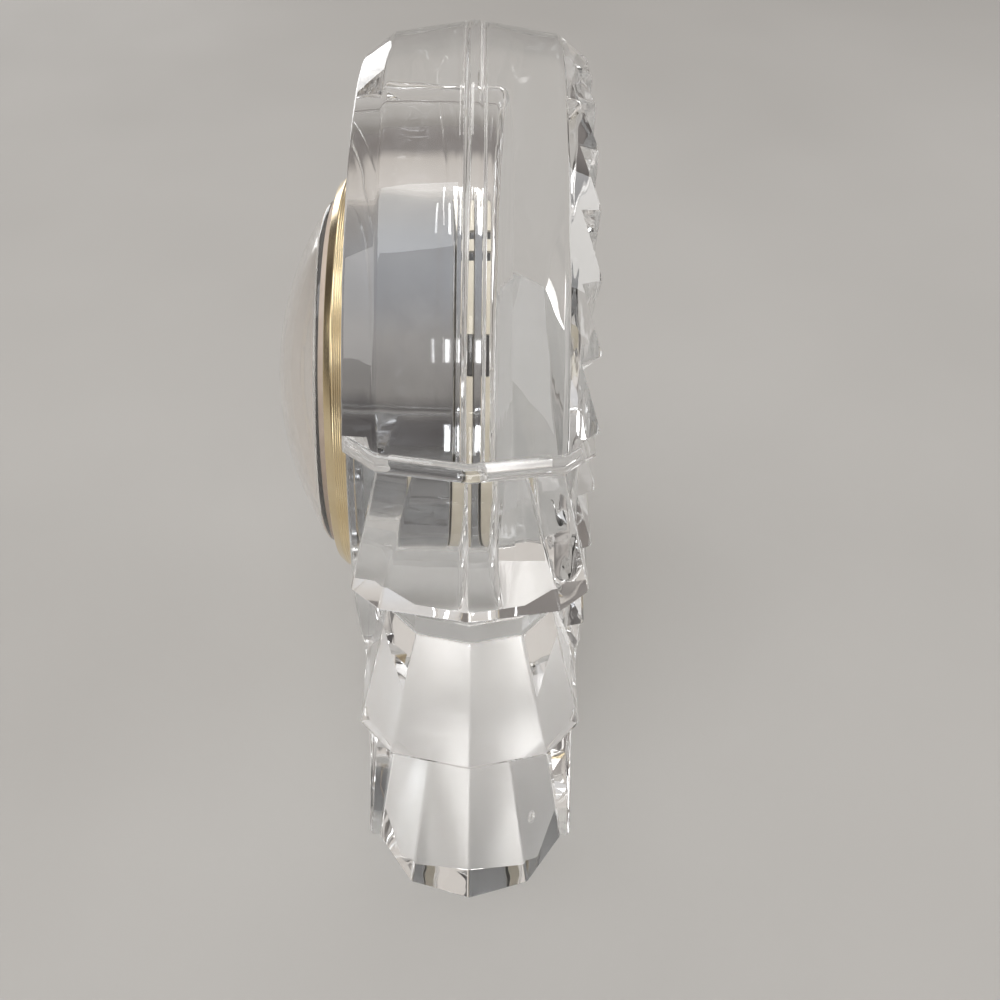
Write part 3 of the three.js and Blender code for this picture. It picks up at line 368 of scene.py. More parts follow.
class Finish:
    """A material under construction, with the place of the surface in millimetres."""

    def __init__(self, name):
        self.material = bpy.data.materials.new(name)
        self.material.use_nodes = True
        self.tree = self.material.node_tree
        self.shader = self.tree.nodes["Principled BSDF"]
        self.output = self.tree.nodes["Material Output"]
        coordinates = self.tree.nodes.new("ShaderNodeTexCoord")
        scale = self.tree.nodes.new("ShaderNodeVectorMath")
        scale.operation = "SCALE"
        scale.inputs["Scale"].default_value = 1 / MM
        self.tree.links.new(coordinates.outputs["Object"], scale.inputs[0])
        self.place = scale.outputs["Vector"]

    def set(self, **values):
        for socket, value in values.items():
            self.shader.inputs[socket.replace("_", " ").title().replace("Ior", "IOR")] \
                .default_value = value
        return self

    def link(self, source, target):
        self.tree.links.new(source, target)

    def math(self, operation, a, b=None):
        node = self.tree.nodes.new("ShaderNodeMath")
        node.operation = operation
        for socket, value in zip(node.inputs, (a, b)):
            if isinstance(value, (int, float)):
                socket.default_value = value
            elif value is not None:
                self.link(value, socket)
        return node.outputs[0]

    def noise(self, scale, detail=2, place=None):
        node = self.tree.nodes.new("ShaderNodeTexNoise")
        node.inputs["Scale"].default_value = scale
        node.inputs["Detail"].default_value = detail
        self.link(place or self.place, node.inputs["Vector"])
        return node.outputs["Fac"]

    def turned_place(self):
        """Coordinates that stay the same round the insert's axis: radius and height."""
        split = self.tree.nodes.new("ShaderNodeSeparateXYZ")
        self.link(self.place, split.inputs[0])
        up = self.math("SUBTRACT", split.outputs["Z"], CENTRE_HEIGHT)
        squares = self.math(
            "ADD", self.math("POWER", self.math("ABSOLUTE", split.outputs["X"]), 2),
            self.math("POWER", self.math("ABSOLUTE", up), 2))
        joined = self.tree.nodes.new("ShaderNodeCombineXYZ")
        self.link(self.math("SQRT", squares), joined.inputs["X"])
        self.link(split.outputs["Y"], joined.inputs["Y"])
        return joined.outputs[0]

    def ramp(self, factor, stops):
        node = self.tree.nodes.new("ShaderNodeValToRGB")
        fill_ramp(node, stops)
        self.link(factor, node.inputs["Fac"])
        return node.outputs["Color"]

    def colour(self, factor, first, second):
        self.link(self.ramp(factor, [(0.3, first), (0.7, second)]),
                  self.shader.inputs["Base Color"])
        return self

    def roughness(self, factor, low, high):
        node = self.tree.nodes.new("ShaderNodeMapRange")
        node.inputs["To Min"].default_value = low
        node.inputs["To Max"].default_value = high
        self.link(factor, node.inputs["Value"])
        self.link(node.outputs["Result"], self.shader.inputs["Roughness"])
        return self

    def bump(self, factor, height):
        """Relief of the surface, by its height in millimetres."""
        node = self.tree.nodes.new("ShaderNodeBump")
        node.inputs["Strength"].default_value = 1
        node.inputs["Distance"].default_value = height * MM
        self.link(factor, node.inputs["Height"])
        self.link(node.outputs["Normal"], self.shader.inputs["Normal"])
        return self


def let_lamps_through(finish, tint):
    """Clear pieces don't block the lamps: their shadow is only as dark as their tint."""
    tree = finish.tree
    path = tree.nodes.new("ShaderNodeLightPath")
    clear = tree.nodes.new("ShaderNodeBsdfTransparent")
    clear.inputs["Color"].default_value = (*tint, 1)
    mix = tree.nodes.new("ShaderNodeMixShader")
    finish.link(path.outputs["Is Shadow Ray"], mix.inputs["Fac"])
    finish.link(finish.shader.outputs[0], mix.inputs[1])
    finish.link(clear.outputs[0], mix.inputs[2])
    finish.link(mix.outputs[0], finish.output.inputs["Surface"])


def crystal_finish():
    """Pressed lead crystal: clear, with the faint waves that the mould leaves."""
    finish = Finish("crystal").set(ior=1.545, transmission_weight=1)
    waves = finish.noise(0.09, 1)
    finish.colour(finish.noise(0.02), (0.985, 0.99, 0.99), (0.995, 0.99, 0.985))
    finish.roughness(finish.noise(0.6, 3), 0, 0.02)
    finish.bump(waves, 0.12)
    let_lamps_through(finish, (0.93, 0.935, 0.935))
    return finish.material


def ground_crystal_finish():
    """The flat underside of the crystal, ground matt where it stands."""
    finish = Finish("ground_crystal").set(ior=1.545, transmission_weight=1)
    grain = finish.noise(6, 4)
    finish.colour(finish.noise(0.05), (0.97, 0.96, 0.95), (0.99, 0.985, 0.98))
    finish.roughness(grain, 0.3, 0.42)
    finish.bump(grain, 0.01)
    let_lamps_through(finish, (0.9, 0.9, 0.9))
    return finish.material


def lens_finish():
    """Clear acrylic, slightly warm in its thickness."""
    finish = Finish("lens").set(ior=1.49, transmission_weight=0.985)
    finish.colour(finish.noise(0.05), (0.99, 0.975, 0.955), (0.995, 0.985, 0.975))
    finish.roughness(finish.noise(0.8, 3), 0, 0.03)
    let_lamps_through(finish, (0.96, 0.95, 0.94))
    return finish.material


def lens_rim_finish():
    """The moulded rim of the lens inside the bezel, left unpolished."""
    finish = Finish("lens_rim").set(ior=1.49, transmission_weight=0.3)
    finish.colour(finish.noise(0.3), (0.62, 0.52, 0.45), (0.7, 0.6, 0.53))
    finish.roughness(finish.noise(2, 3), 0.4, 0.55)
    let_lamps_through(finish, (0.8, 0.78, 0.76))
    return finish.material


def silicone_finish():
    """The soft clear band that grips the insert."""
    finish = Finish("clear_silicone").set(ior=1.41, transmission_weight=0.9)
    finish.colour(finish.noise(0.4), (0.86, 0.87, 0.87), (0.93, 0.93, 0.92))
    finish.roughness(finish.noise(2, 3), 0.12, 0.3)
    let_lamps_through(finish, (0.85, 0.85, 0.85))
    return finish.material


def turned_metal_finish(name, dark, light, roughness, line_height, line_scale):
    """Plated metal with the fine lines of the lathe running round it."""
    finish = Finish(name).set(metallic=1)
    lines = finish.noise(line_scale, 4, finish.turned_place())
    finish.colour(finish.noise(0.12, 3), dark, light)
    finish.roughness(lines, roughness * 0.6, roughness * 1.5)
    finish.bump(lines, line_height)
    return finish.material


def metal_finish(name, dark, light, roughness):
    """Stamped or cut metal with a fine grain."""
    finish = Finish(name).set(metallic=1)
    finish.colour(finish.noise(0.5, 4), dark, light)
    finish.roughness(finish.noise(3, 4), roughness * 0.7, roughness * 1.4)
    finish.bump(finish.noise(12, 3), 0.004)
    return finish.material


def plastic_finish(name, dark, light, roughness):
    """Moulded plastic with a fine matt grain."""
    finish = Finish(name)
    finish.colour(finish.noise(0.3, 3), dark, light)
    finish.roughness(finish.noise(4, 3), roughness * 0.8, roughness * 1.2)
    finish.bump(finish.noise(14, 2), 0.006)
    return finish.material


def winding_finish():
    """Enamelled copper wire, wound in close turns across the coil."""
    finish = Finish("copper").set(metallic=1)
    wave = finish.tree.nodes.new("ShaderNodeTexWave")
    wave.inputs["Scale"].default_value = 2.6
    wave.inputs["Distortion"].default_value = 0.3
    finish.link(finish.place, wave.inputs["Vector"])
    finish.colour(wave.outputs["Fac"], (0.32, 0.12, 0.05), (0.72, 0.34, 0.16))
    finish.roughness(wave.outputs["Fac"], 0.25, 0.4)
    finish.bump(wave.outputs["Fac"], 0.03)
    return finish.material


def board_finish():
    """Green solder mask over pale tracks."""
    finish = Finish("board")
    voronoi = finish.tree.nodes.new("ShaderNodeTexVoronoi")
    voronoi.feature = "DISTANCE_TO_EDGE"
    voronoi.inputs["Scale"].default_value = 0.6
    finish.link(finish.place, voronoi.inputs["Vector"])
    tracks = finish.ramp(
        voronoi.outputs["Distance"], [(0.03, (0.12, 0.3, 0.14)), (0.06, (0.02, 0.12, 0.05))])
    finish.link(tracks, finish.shader.inputs["Base Color"])
    finish.roughness(finish.noise(2), 0.25, 0.45)
    return finish.material


def all_finishes():
    """Every finish by its slot's name. Two more dress parts of the crystal and of the lens."""
    return {
        "crystal": crystal_finish(),
        "ground_crystal": ground_crystal_finish(),
        "lens": lens_finish(),
        "lens_rim": lens_rim_finish(),
        "rubber": silicone_finish(),
        "gilt": turned_metal_finish(
            "gilt", (0.82, 0.66, 0.40), (0.92, 0.78, 0.52), 0.2, 0.01, 4),
        "plated": turned_metal_finish(
            "plated", (0.36, 0.37, 0.39), (0.44, 0.45, 0.47), 0.06, 0.002, 3),
        "steel": metal_finish("steel", (0.45, 0.45, 0.46), (0.6, 0.6, 0.6), 0.32),
        "brass": metal_finish("brass", (0.52, 0.36, 0.12), (0.72, 0.52, 0.2), 0.3),
        "dial": plastic_finish("dial", (0.86, 0.83, 0.76), (0.9, 0.87, 0.81), 0.45),
        "black": plastic_finish("black", (0.008, 0.008, 0.009), (0.016, 0.016, 0.017), 0.38),
        "cream": plastic_finish("cream", (0.66, 0.6, 0.48), (0.74, 0.68, 0.57), 0.42),
        "nylon": plastic_finish("nylon", (0.8, 0.79, 0.75), (0.88, 0.87, 0.84), 0.4),
        "copper": winding_finish(),
        "board": board_finish(),
    }


# Crystal

def tier_outline(outline):
    """All round a tier, from the front end of its right side."""
    right = [
        (outline["outer"], -outline["outer_half"]), (outline["corner"], -outline["corner_half"]),
        (outline["ridge"], 0),
        (outline["corner"], outline["corner_half"]), (outline["outer"], outline["outer_half"]),
    ]
    return right + [(-x, -y) for x, y in right]


def top_outline(outline, lean):
    """The outline at a tier's top, each edge parallel to its edge at the bottom."""
    slope = (outline["ridge"] - outline["corner"]) / outline["corner_half"]
    ridge = outline["ridge"] - lean["ridge"]
    bevel = Vector((
        outline["outer"] - outline["corner"], outline["outer_half"] - outline["corner_half"]))
    inward = Vector((-bevel.y, bevel.x)).normalized() * lean["bevel"]
    start = Vector((outline["corner"], outline["corner_half"])) + inward
    along = (ridge - slope * start.y - start.x) / (bevel.x + slope * bevel.y)
    corner = start + bevel * along
    outer_half = outline["outer_half"] - lean["face"]
    outer = start + bevel * ((outer_half - start.y) / bevel.y)
    return {
        "ridge": ridge, "corner": corner.x, "corner_half": corner.y,
        "outer": outer.x, "outer_half": outer_half,
    }


def tier(values):
    """One flared tier with its pressed edges."""
    mesh = lofted(
        tier_outline(values["outline"]),
        tier_outline(top_outline(values["outline"], values["lean"])),
        values["base"], values["top"])
    return bevelled(mesh, TIER_ROUND, segments=TIER_EDGE_STEPS)


def groove(above, below):
    """The narrower section between two tiers."""
    outline = top_outline(below["outline"], below["lean"])
    for key in ("ridge", "corner", "outer"):
        outline[key] -= GROOVE_INSET
    points = tier_outline(outline)
    return lofted(points, points, below["top"] - GROOVE_OVERLAP, above["base"] + GROOVE_OVERLAP)


def skirt(above, below):
    """Under a tier without a groove the glass draws in to the facets of the next one."""
    share = (SKIRT_BASE - below["base"]) / (below["top"] - below["base"])
    wide = below["outline"]
    narrow = top_outline(wide, below["lean"])
    outline = {key: wide[key] + (narrow[key] - wide[key]) * share for key in wide}
    for key in ("ridge", "corner", "outer"):
        outline[key] -= SKIRT_INSET
    return lofted(
        tier_outline(outline), tier_outline(above["outline"]), SKIRT_BASE, above["base"])


def head():
    """The ridged round head above the neck, with a bead along its ridge."""
    half = BODY_THICKNESS / 2
    corner_front = HEAD_CORNER_OFFSET - half
    corner_back = -BODY_THICKNESS - corner_front
    profile = rounded([
        (0, 0, 0), (HEAD_FACE_RADIUS, 0, FACE_ROUND),
        (HEAD_CORNER_RADIUS, corner_front, CORNER_ROUND),
        *[(HEAD_RIDGE_RADIUS - depth, -half + aside, RIDGE_ROUND) for aside, depth in RIDGE_BEAD],
        *[(HEAD_RIDGE_RADIUS - depth, -half - aside, RIDGE_ROUND)
          for aside, depth in reversed(RIDGE_BEAD)],
        (HEAD_CORNER_RADIUS, corner_back, CORNER_ROUND),
        (HEAD_FACE_RADIUS, -BODY_THICKNESS, FACE_ROUND), (0, -BODY_THICKNESS, 0),
    ])
    mesh = lathe(profile, CRYSTAL_SEGMENTS)
    neck = Vector((0, 0, NECK_HEIGHT)) * MM
    everything = [*mesh.verts, *mesh.edges, *mesh.faces]
    bmesh.ops.bisect_plane(
        mesh, geom=everything, plane_co=neck, plane_no=(0, 0, 1), clear_inner=True)
    bmesh.ops.holes_fill(mesh, edges=[edge for edge in mesh.edges if edge.is_boundary])
    bmesh.ops.recalc_face_normals(mesh, faces=mesh.faces)
    return mesh


def neck_outline(inset):
    """The head's outline at the neck, drawn in at both sides and at its ends."""
    rise = NECK_HEIGHT - CENTRE_HEIGHT
    corners = [
        (HEAD_FACE_RADIUS, BODY_THICKNESS / 2 - NECK_BEAD_SUNK),
        (HEAD_CORNER_RADIUS, HEAD_CORNER_OFFSET), (HEAD_RIDGE_RADIUS, 0),
    ]
    behind = [(math.sqrt(radius ** 2 - rise ** 2) - inset, y) for radius, y in corners]
    right = [(x, -y) for x, y in behind] + behind[-2::-1]
    return right + [(-x, -y) for x, y in right]


def neck_bead():
    """The rounded roll where the head meets the tiers."""
    turns = [math.pi * (i + 0.5) / NECK_STEPS - math.pi / 2 for i in range(NECK_STEPS)]
    return stacked([
        (neck_outline(NECK_BEAD * (1 - math.cos(turn)) - NECK_BEAD_PROUD),
         NECK_HEIGHT + NECK_BEAD * (NECK_BEAD_LIFT + math.sin(turn)))
        for turn in turns
    ])


def core():
    """The round block that holds the insert."""
    profile = rounded([
        (0, 0, 0), (CORE_RADIUS, 0, FACE_ROUND), (CORE_RADIUS, -BODY_THICKNESS, FACE_ROUND),
        (0, -BODY_THICKNESS, 0),
    ])
    return lathe(profile, CRYSTAL_SEGMENTS)


def foot():
    """The curved foot that carries the tiers, seen from the front as a waisted bell."""
    steps = 4 * ARC_STEPS
    low, waist, top = (
        Vector((FOOT_HALF_WIDTH, 0)), Vector((FOOT_WAIST_HALF_WIDTH, FOOT_WAIST_HEIGHT)),
        Vector((FOOT_TOP_HALF_WIDTH, FOOT_TOP)))
    side = []
    for i in range(steps + 1):
        share = i / steps
        side.append(low.lerp(waist, share).lerp(waist.lerp(top, share), share))
    outline = [(p.x, p.y) for p in side] + [(-p.x, p.y) for p in reversed(side)]
    half = BODY_THICKNESS / 2
    mesh = bmesh.new()
    faces = join_rings(
        mesh, [[Vector((x, y, z)) * MM for x, z in outline] for y in (-half, half)])
    bmesh.ops.recalc_face_normals(mesh, faces=mesh.faces)
    return bevelled(mesh, FACE_ROUND, {edge for face in faces for edge in face.edges})


def flute_cutter():
    """A fan of saw-tooth valleys that falls from the middle of the back outwards."""
    back = -BODY_THICKNESS
    far = HEAD_RIDGE_RADIUS + FLUTE_DEPTH
    fall = (FLUTE_DEPTH + FLUTE_LAND) * far / HEAD_FACE_RADIUS
    pitch = 2 * math.pi / FLUTE_COUNT
    mesh = bmesh.new()
    apex = mesh.verts.new(on_axis(0, 0, back - FLUTE_LAND))
    lid_apex = mesh.verts.new(on_axis(0, 0, back - 2 * FLUTE_DEPTH))
    edge, lid = [], []
    for number in range(FLUTE_COUNT):
        start = -pitch * (number + 0.5)
        steep = start - pitch * FLUTE_STEEP_SHARE
        edge.append(mesh.verts.new(on_axis(far, start, back)))
        edge.append(mesh.verts.new(on_axis(far, steep, back - FLUTE_LAND + fall)))
        for angle in (start, steep):
            lid.append(mesh.verts.new(on_axis(far, angle, back - 2 * FLUTE_DEPTH)))
    count = len(edge)
    for i in range(count):
        j = (i + 1) % count
        mesh.faces.new([apex, edge[i], edge[j]])
        mesh.faces.new([edge[i], lid[i], lid[j], edge[j]])
        mesh.faces.new([lid_apex, lid[j], lid[i]])
    bmesh.ops.recalc_face_normals(mesh, faces=mesh.faces)
    return mesh


def flute_limit():
    """Where the flutes are cut: on the round core and on the head above the neck."""
    reach = HEAD_RIDGE_RADIUS + 2 * FLUTE_DEPTH
    half = BODY_THICKNESS / 2
    radius, back = CORE_RADIUS + CORE_CUT_MARGIN, -BODY_THICKNESS - CUT_MARGIN
    limit = object_from("limit", lathe(
        [(0, -half), (radius, -half), (radius, back), (0, back)], CRYSTAL_SEGMENTS))
    above = object_from("above", box_between(
        (-2 * reach, 0, NECK_HEIGHT - FLUTE_OVERLAP),
        (2 * reach, half + CUT_MARGIN, CENTRE_HEIGHT + 2 * reach)))
    return combine(limit, above, "UNION")


def recess():
    """The blind round hole for the insert."""
    profile = rounded([
        (0, CUT_MARGIN, 0), (RECESS_RADIUS, CUT_MARGIN, 0),
        (RECESS_RADIUS, -RECESS_DEPTH, RECESS_END_ROUND), (0, -RECESS_DEPTH, 0),
    ])
    return lathe(profile, CRYSTAL_SEGMENTS)


def ground_area():
    """The shallow field of the underside that is ground matt."""
    return box_between(
        (-GROUND_HALF_LENGTH, -GROUND_HALF_WIDTH, -GROUND_CUT_MARGIN),
        (GROUND_HALF_LENGTH, GROUND_HALF_WIDTH, GROUND_DEPTH))


def add_bubble(mesh):
    """A small stretched bubble, its surface facing inwards as the glass around it does."""
    stretch = Matrix.Diagonal((1, 1, BUBBLE_STRETCH, 1))
    place = Matrix.Translation(Vector(BUBBLE_PLACE) * MM)
    made = bmesh.ops.create_icosphere(
        mesh, subdivisions=BUBBLE_DETAIL, radius=BUBBLE_RADIUS * MM, matrix=place @ stretch)
    faces = {face for vertex in made["verts"] for face in vertex.link_faces}
    bmesh.ops.reverse_faces(mesh, faces=list(faces))


def clean_joins(mesh):
    """Merges the doubled points that the booleans leave and fills the slivers they leave open."""
    bmesh.ops.remove_doubles(mesh, verts=mesh.verts, dist=WELD * MM)
    bmesh.ops.dissolve_degenerate(mesh, dist=WELD * MM, edges=mesh.edges)
    wires = [edge for edge in mesh.edges if edge.is_wire]
    bmesh.ops.delete(mesh, geom=wires, context="EDGES")
    bmesh.ops.holes_fill(mesh, edges=[edge for edge in mesh.edges if edge.is_boundary])
    bmesh.ops.recalc_face_normals(mesh, faces=mesh.faces)


def crystal_body(finishes):
    """The whole crystal as one mesh: its parts joined, then flutes, recess and underside cut."""
    body = object_from("crystal_pressing", head())
    parts = [neck_bead(), core(), foot(), *[tier(t) for t in TIERS],
             groove(TIERS[0], TIERS[1]), skirt(TIERS[1], TIERS[2])]
    for part in parts:
        combine(body, object_from("part", part), "UNION")
    flutes = combine(object_from("flutes", flute_cutter()), flute_limit(), "INTERSECT")
    combine(body, flutes, "DIFFERENCE")
    combine(body, object_from("recess", recess()), "DIFFERENCE")
    combine(body, object_from("ground_area", ground_area()), "DIFFERENCE")
    mesh = bmesh.new()
    mesh.from_mesh(body.data)
    clean_joins(mesh)
    add_bubble(mesh)
    mesh.to_mesh(body.data)
    mesh.free()
    finish_piece(body, "crystal", finishes["crystal"], ["crystal_body"])
    body.data.materials.append(finishes["ground_crystal"])
    for face in body.data.polygons:
        under = face.normal.z < FACING_DOWN and face.center.z < 2 * GROUND_DEPTH * MM
        if under and face.center.z > GROUND_DEPTH / 2 * MM:
            face.material_index = 1
    even = body.modifiers.new("even_facets", "WEIGHTED_NORMAL")
    even.mode = "FACE_AREA"
    even.weight = FACET_WEIGHT
    even.keep_sharp = True
    return body


# Insert

BEZEL_FRONT = SEAT_GAP + BEZEL_SIDE + BEZEL_CHAMFER
LENS_SEAT = SEAT_GAP + BEZEL_LIP
CAP_FRONT = -CUP_DEPTH - SEAT_GAP
CAP_BACK = CAP_FRONT - BACK_CAP_THICKNESS


def bezel(finishes):
    """A gilt ring with fine turned lines on its side and a smooth chamfer in front."""
    lines = []
    first = SEAT_GAP + BEZEL_PLAIN_EDGE
    pitch = (BEZEL_SIDE - 2 * BEZEL_PLAIN_EDGE) / BEZEL_LINES
    for number in range(BEZEL_LINES):
        start = first + pitch * number
        lines += [
            (BEZEL_RADIUS - depth, start + share * pitch, 0) for share, depth in BEZEL_LINE_SHAPE]
    bore = LENS_RADIUS + SEAT_GAP
    profile = rounded([
        (LENS_RADIUS - LENS_WALL, SEAT_GAP, 0), (BEZEL_RADIUS, SEAT_GAP, BEZEL_ROUND), *lines,
        (BEZEL_RADIUS, SEAT_GAP + BEZEL_SIDE, BEZEL_ROUND),
        (BEZEL_RADIUS - BEZEL_CHAMFER_IN, BEZEL_FRONT, BEZEL_ROUND),
        (bore, BEZEL_FRONT, BEZEL_ROUND), (bore, LENS_SEAT, 0),
        (LENS_RADIUS - LENS_WALL, LENS_SEAT, 0),
    ], closed=True)
    piece = object_from("bezel_ring", lathe(profile, INSERT_SEGMENTS, closed=True))
    return finish_piece(
        piece, "insert", finishes["gilt"], ["bezel"], smooth_angle=50)


def dome(rim_radius, rim_height, rise):
    """Points of a dome from its rim to its apex."""
    sphere = (rim_radius ** 2 + rise ** 2) / (2 * rise)
    opening = math.asin(rim_radius / sphere)
    points = []
    for i in range(DOME_STEPS + 1):
        angle = opening * (1 - i / DOME_STEPS)
        radius = 0 if i == DOME_STEPS else sphere * math.sin(angle)
        points.append((radius, rim_height + rise - sphere * (1 - math.cos(angle)), 0))
    return points


def lens(finishes):
    """The domed lens, with its rim left matt inside the bezel."""
    bottom = LENS_SEAT + SEAT_GAP
    rim = BEZEL_FRONT + LENS_RIM_PROUD
    inside = dome(LENS_RADIUS - LENS_WALL, rim - LENS_WALL, LENS_DOME_RISE)
    outside = dome(LENS_RADIUS, rim, LENS_DOME_RISE)
    outside[0] = (*outside[0][:2], LENS_ROUND)
    profile = rounded([
        *reversed(inside), (LENS_RADIUS - LENS_WALL, bottom, 0), (LENS_RADIUS, bottom, 0),
        *outside,
    ])
    piece = object_from("lens_dome", lathe(profile, INSERT_SEGMENTS))
    finish_piece(piece, "insert", finishes["lens"], ["lens"], smooth_angle=40)
    piece.data.materials.append(finishes["lens_rim"])
    for face in piece.data.polygons:
        height = -face.center.y / MM - BODY_THICKNESS / 2
        if height < BEZEL_FRONT + LENS_RIM_PROUD / 2:
            face.material_index = 1
    return piece


def case_cup(finishes):
    """The plated cup of the insert, with a flange behind for the back cap."""
    inner = CUP_RADIUS - CUP_WALL
    flange = CUP_RADIUS - CUP_FLANGE_INSET
    profile = rounded([
        (CUP_RADIUS, 0, 0), (inner, 0, 0), (inner, -CUP_DEPTH + CUP_WALL, 0),
        (flange, -CUP_DEPTH + CUP_WALL, 0), (flange, -CUP_DEPTH, 0),
        (CUP_RADIUS, -CUP_DEPTH, CUP_ROUND),
    ], closed=True)
    piece = object_from("plated_cup", lathe(profile, INSERT_SEGMENTS, closed=True))
    return finish_piece(
        piece, "insert", finishes["plated"], ["case_cup"], smooth_angle=40)


def latches(finishes):
    """Black blocks in the slots round the back cap's rim: painted shade that stands in for the
    dark inside the slots.
    """
    mesh = bmesh.new()
    outer = BACK_CAP_RADIUS - SHADE_BLOCK_GAP
    for direction, width in SHADED_SLOTS:
        half = width / 2 - SHADE_BLOCK_GAP
        turn = Matrix.Rotation(-math.radians(direction), 4, "Y")
        corners = []
        for radius in (outer - SHADE_BLOCK_DEPTH, outer):
            for across in (-half, half):
                for height in (CAP_FRONT - SHADE_BLOCK_GAP, CAP_BACK + SHADE_BLOCK_GAP):
                    flat = Vector((radius, -BODY_THICKNESS / 2 - height, across))
                    corners.append(mesh.verts.new(
                        (turn @ flat + Vector((0, 0, CENTRE_HEIGHT))) * MM))
        for face in ((0, 1, 3, 2), (4, 6, 7, 5), (0, 4, 5, 1), (2, 3, 7, 6), (0, 2, 6, 4),
                     (1, 5, 7, 3)):
            mesh.faces.new([corners[i] for i in face])
    bmesh.ops.recalc_face_normals(mesh, faces=mesh.faces)
    # Painted shade: the blocks are black so that the slots read dark
    piece = object_from("cap_latches", bevelled(mesh, SHADE_BLOCK_ROUND))
    return finish_piece(piece, "insert", finishes["black"])


# Dial

def dial_place(x, y, height):
    """A point on the dial: x to the right and y up, as read from the front."""
    return Vector((x, -BODY_THICKNESS / 2 - height, CENTRE_HEIGHT + y)) * MM


def dial_marks(finishes):
    """Minute and hour marks, printed in black round the dial's edge."""
    mesh = bmesh.new()
    low, high = DIAL_FRONT, DIAL_FRONT + PRINT_THICKNESS
    for minute in range(60):
        width, length = HOUR_MARK if minute % 5 == 0 else MINUTE_MARK
        angle = math.radians(90 - 6 * minute)
        along = Vector((math.cos(angle), math.sin(angle)))
        across = Vector((-along.y, along.x)) * width / 2
        flat = [
            along * TRACK_RADIUS - across, along * (TRACK_RADIUS + length) - across,
            along * (TRACK_RADIUS + length) + across, along * TRACK_RADIUS + across,
        ]
        join_rings(mesh, [[dial_place(p.x, p.y, h) for p in flat] for h in (low, high)])
    bmesh.ops.recalc_face_normals(mesh, faces=mesh.faces)
    piece = object_from("dial_marks", mesh)
    return finish_piece(piece, "insert", finishes["black"])


def dial_number(hour, finishes):
    """One upright number of the dial, as a thin printed mesh."""
    curve = bpy.data.curves.new(f"number_{hour}", "FONT")
    curve.body = str(hour)
    curve.size = NUMBER_SIZE * MM
    curve.extrude = PRINT_THICKNESS / 2 * MM
    curve.align_x = "CENTER"
    curve.align_y = "CENTER"
    drawn = bpy.data.objects.new(f"drawn_{hour}", curve)
    bpy.context.scene.collection.objects.link(drawn)
    depsgraph = bpy.context.evaluated_depsgraph_get()
    data = bpy.data.meshes.new_from_object(drawn.evaluated_get(depsgraph))
    bpy.data.objects.remove(drawn)
    angle = math.radians(90 - 30 * hour)
    centre = dial_place(
        NUMBER_RADIUS * math.cos(angle), NUMBER_RADIUS * math.sin(angle),
        DIAL_FRONT + PRINT_THICKNESS / 2)
    data.transform(Matrix.Translation(centre) @ Matrix.Rotation(math.pi / 2, 4, "X"))
    piece = bpy.data.objects.new(f"dial_number_{hour}", data)
    bpy.context.scene.collection.objects.link(piece)
    return finish_piece(piece, "insert", finishes["black"])


# The pieces that keep their own shape

def dress_nodes(finishes):
    """Gives each node of the frame the finish of its material slot."""
    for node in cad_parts.values():
        slot = node.data.materials[0].name.split(".")[0]
        node.data.materials[0] = finishes[slot]


# Stage, light and camera

def stage_floor():
    """A pale floor that is large enough for any view."""
    reach = FLOOR_REACH
    mesh = bmesh.new()
    corners = [(-reach, -reach), (reach, -reach), (reach, reach), (-reach, reach)]
    mesh.faces.new([mesh.verts.new(Vector((x, y, -FLOOR_DROP)) * MM) for x, y in corners])
    floor = object_from("floor", mesh)
    finish = Finish("pale_floor")
    finish.colour(finish.noise(0.01, 2), (0.43, 0.42, 0.405), (0.46, 0.45, 0.435))
    finish.roughness(finish.noise(0.05), 0.75, 0.85)
    floor.data.materials.append(finish.material)
    return floor


def softbox(name, place, size, strength, colour, across, unseen_by):
    """A rectangular lamp that faces the clock, as one row of LAMPS describes it."""
    data = bpy.data.lights.new(name, "AREA")
    data.shape = "RECTANGLE"
    data.size, data.size_y = size[0] * MM, size[1] * MM
    data.color = colour
    data.energy = strength * math.pi * data.size * data.size_y
    lamp = bpy.data.objects.new(name, data)
    lamp.location = Vector(place) * MM
    for ray in ["camera", *unseen_by]:
        setattr(lamp, f"visible_{ray}", False)
    aim = Vector((0, 0, CENTRE_HEIGHT)) * MM - lamp.location
    back = -aim.normalized()
    level = Vector((0, 1, 0)) if across == "Y" else Vector((1, 0, 0))
    level = (level - level.dot(back) * back).normalized()
    turn = Matrix((level, back.cross(level), back)).transposed()
    lamp.matrix_world = Matrix.Translation(lamp.location) @ turn.to_4x4()
    bpy.context.scene.collection.objects.link(lamp)
    return lamp


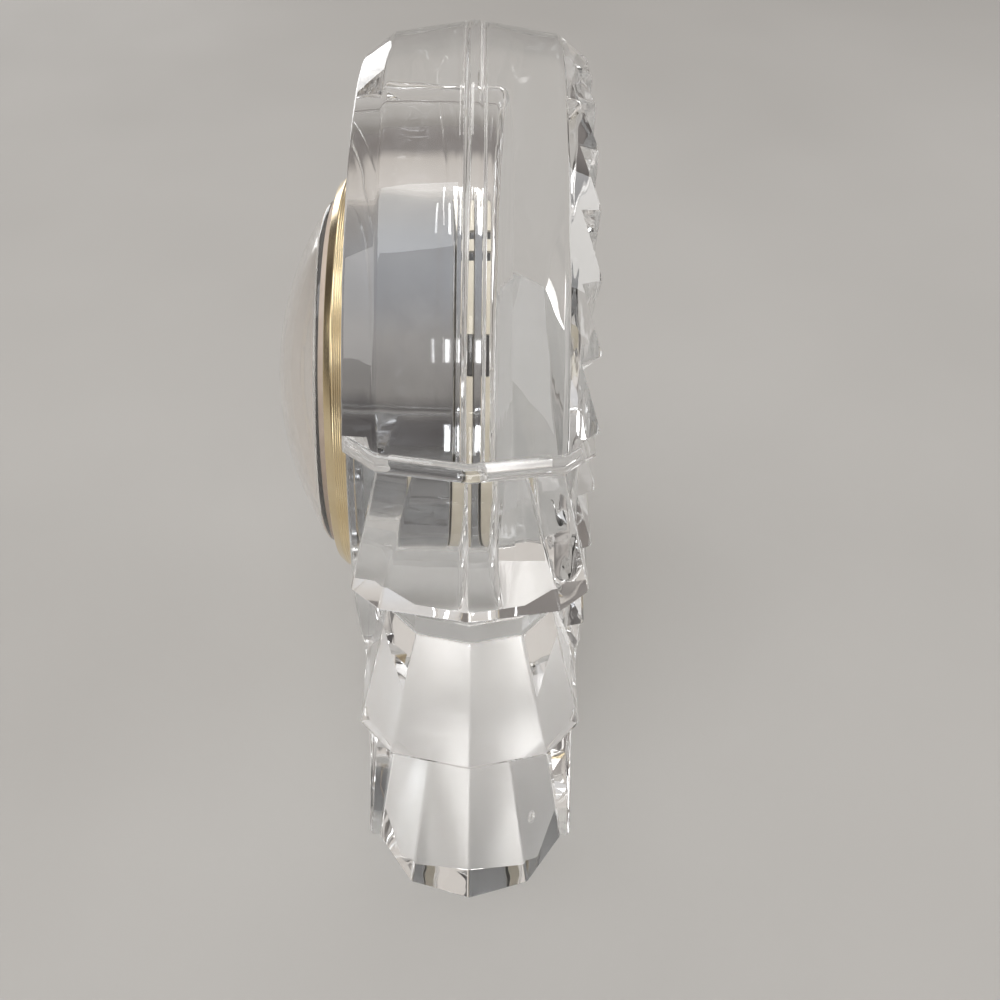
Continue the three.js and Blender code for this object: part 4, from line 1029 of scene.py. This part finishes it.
def room_light():
    """The room around the clock. The camera itself sees a plain backdrop instead."""
    world = bpy.data.worlds.new("room")
    world.use_nodes = True
    tree = world.node_tree

    def added(kind):
        return tree.nodes.new(f"ShaderNode{kind}")

    coordinates, split, towards_front = added("TexCoord"), added("SeparateXYZ"), added("Math")
    tree.links.new(coordinates.outputs["Generated"], split.inputs[0])
    towards_front.operation = "MULTIPLY"
    towards_front.inputs[1].default_value = -1
    tree.links.new(split.outputs["Y"], towards_front.inputs[0])
    shade = added("VectorMath")
    shade.operation = "MULTIPLY"
    for factor, stops, socket in (
            (split.outputs["Z"], ROOM, shade.inputs[0]),
            (towards_front.outputs[0], BAYS, shade.inputs[1])):
        ramp = added("ValToRGB")
        fill_ramp(ramp, stops)
        tree.links.new(factor, ramp.inputs["Fac"])
        tree.links.new(ramp.outputs["Color"], socket)
    room, backdrop = tree.nodes["Background"], added("Background")
    tree.links.new(shade.outputs[0], room.inputs["Color"])
    backdrop.inputs["Color"].default_value = (*BACKDROP, 1)
    paths, choice = added("LightPath"), added("MixShader")
    tree.links.new(paths.outputs["Is Camera Ray"], choice.inputs[0])
    tree.links.new(room.outputs[0], choice.inputs[1])
    tree.links.new(backdrop.outputs[0], choice.inputs[2])
    tree.links.new(choice.outputs[0], tree.nodes["World Output"].inputs["Surface"])
    bpy.context.scene.world = world


def photo_camera():
    """The camera where the photograph was taken."""
    pitch, yaw, roll = (math.radians(a) for a in (CAMERA_PITCH, CAMERA_YAW, CAMERA_ROLL))
    ahead = Vector((
        -math.cos(pitch) * math.cos(yaw), -math.cos(pitch) * math.sin(yaw), -math.sin(pitch)))
    level = Vector((-math.sin(yaw), math.cos(yaw), 0))
    upright = level.cross(ahead)
    right = math.cos(roll) * level + math.sin(roll) * upright
    up = -math.sin(roll) * level + math.cos(roll) * upright
    data = bpy.data.cameras.new("camera")
    data.lens = CAMERA_LENS
    data.sensor_width = CAMERA_SENSOR
    data.clip_start = CAMERA_CLIP * MM
    camera = bpy.data.objects.new("camera", data)
    turn = Matrix((right, up, -ahead)).transposed()
    camera.matrix_world = Matrix.Translation(Vector(CAMERA_PLACE) * MM) @ turn.to_4x4()
    bpy.context.scene.collection.objects.link(camera)
    bpy.context.scene.camera = camera


def light_paths():
    """Enough bounces for light to pass through the thick crystal."""
    cycles = bpy.context.scene.cycles
    cycles.max_bounces = MAX_BOUNCES
    cycles.transmission_bounces = MAX_BOUNCES
    cycles.glossy_bounces = GLOSSY_BOUNCES
    cycles.transparent_max_bounces = TRANSPARENT_BOUNCES


finishes = all_finishes()
dress_nodes(finishes)
crystal_body(finishes)
bezel(finishes)
lens(finishes)
case_cup(finishes)
latches(finishes)
dial_marks(finishes)
for hour in range(1, 13):
    dial_number(hour, finishes)
stage_floor()
for lamp in LAMPS:
    softbox(*lamp)
room_light()
photo_camera()
light_paths()
bpy.context.scene.view_settings.view_transform = "Standard"
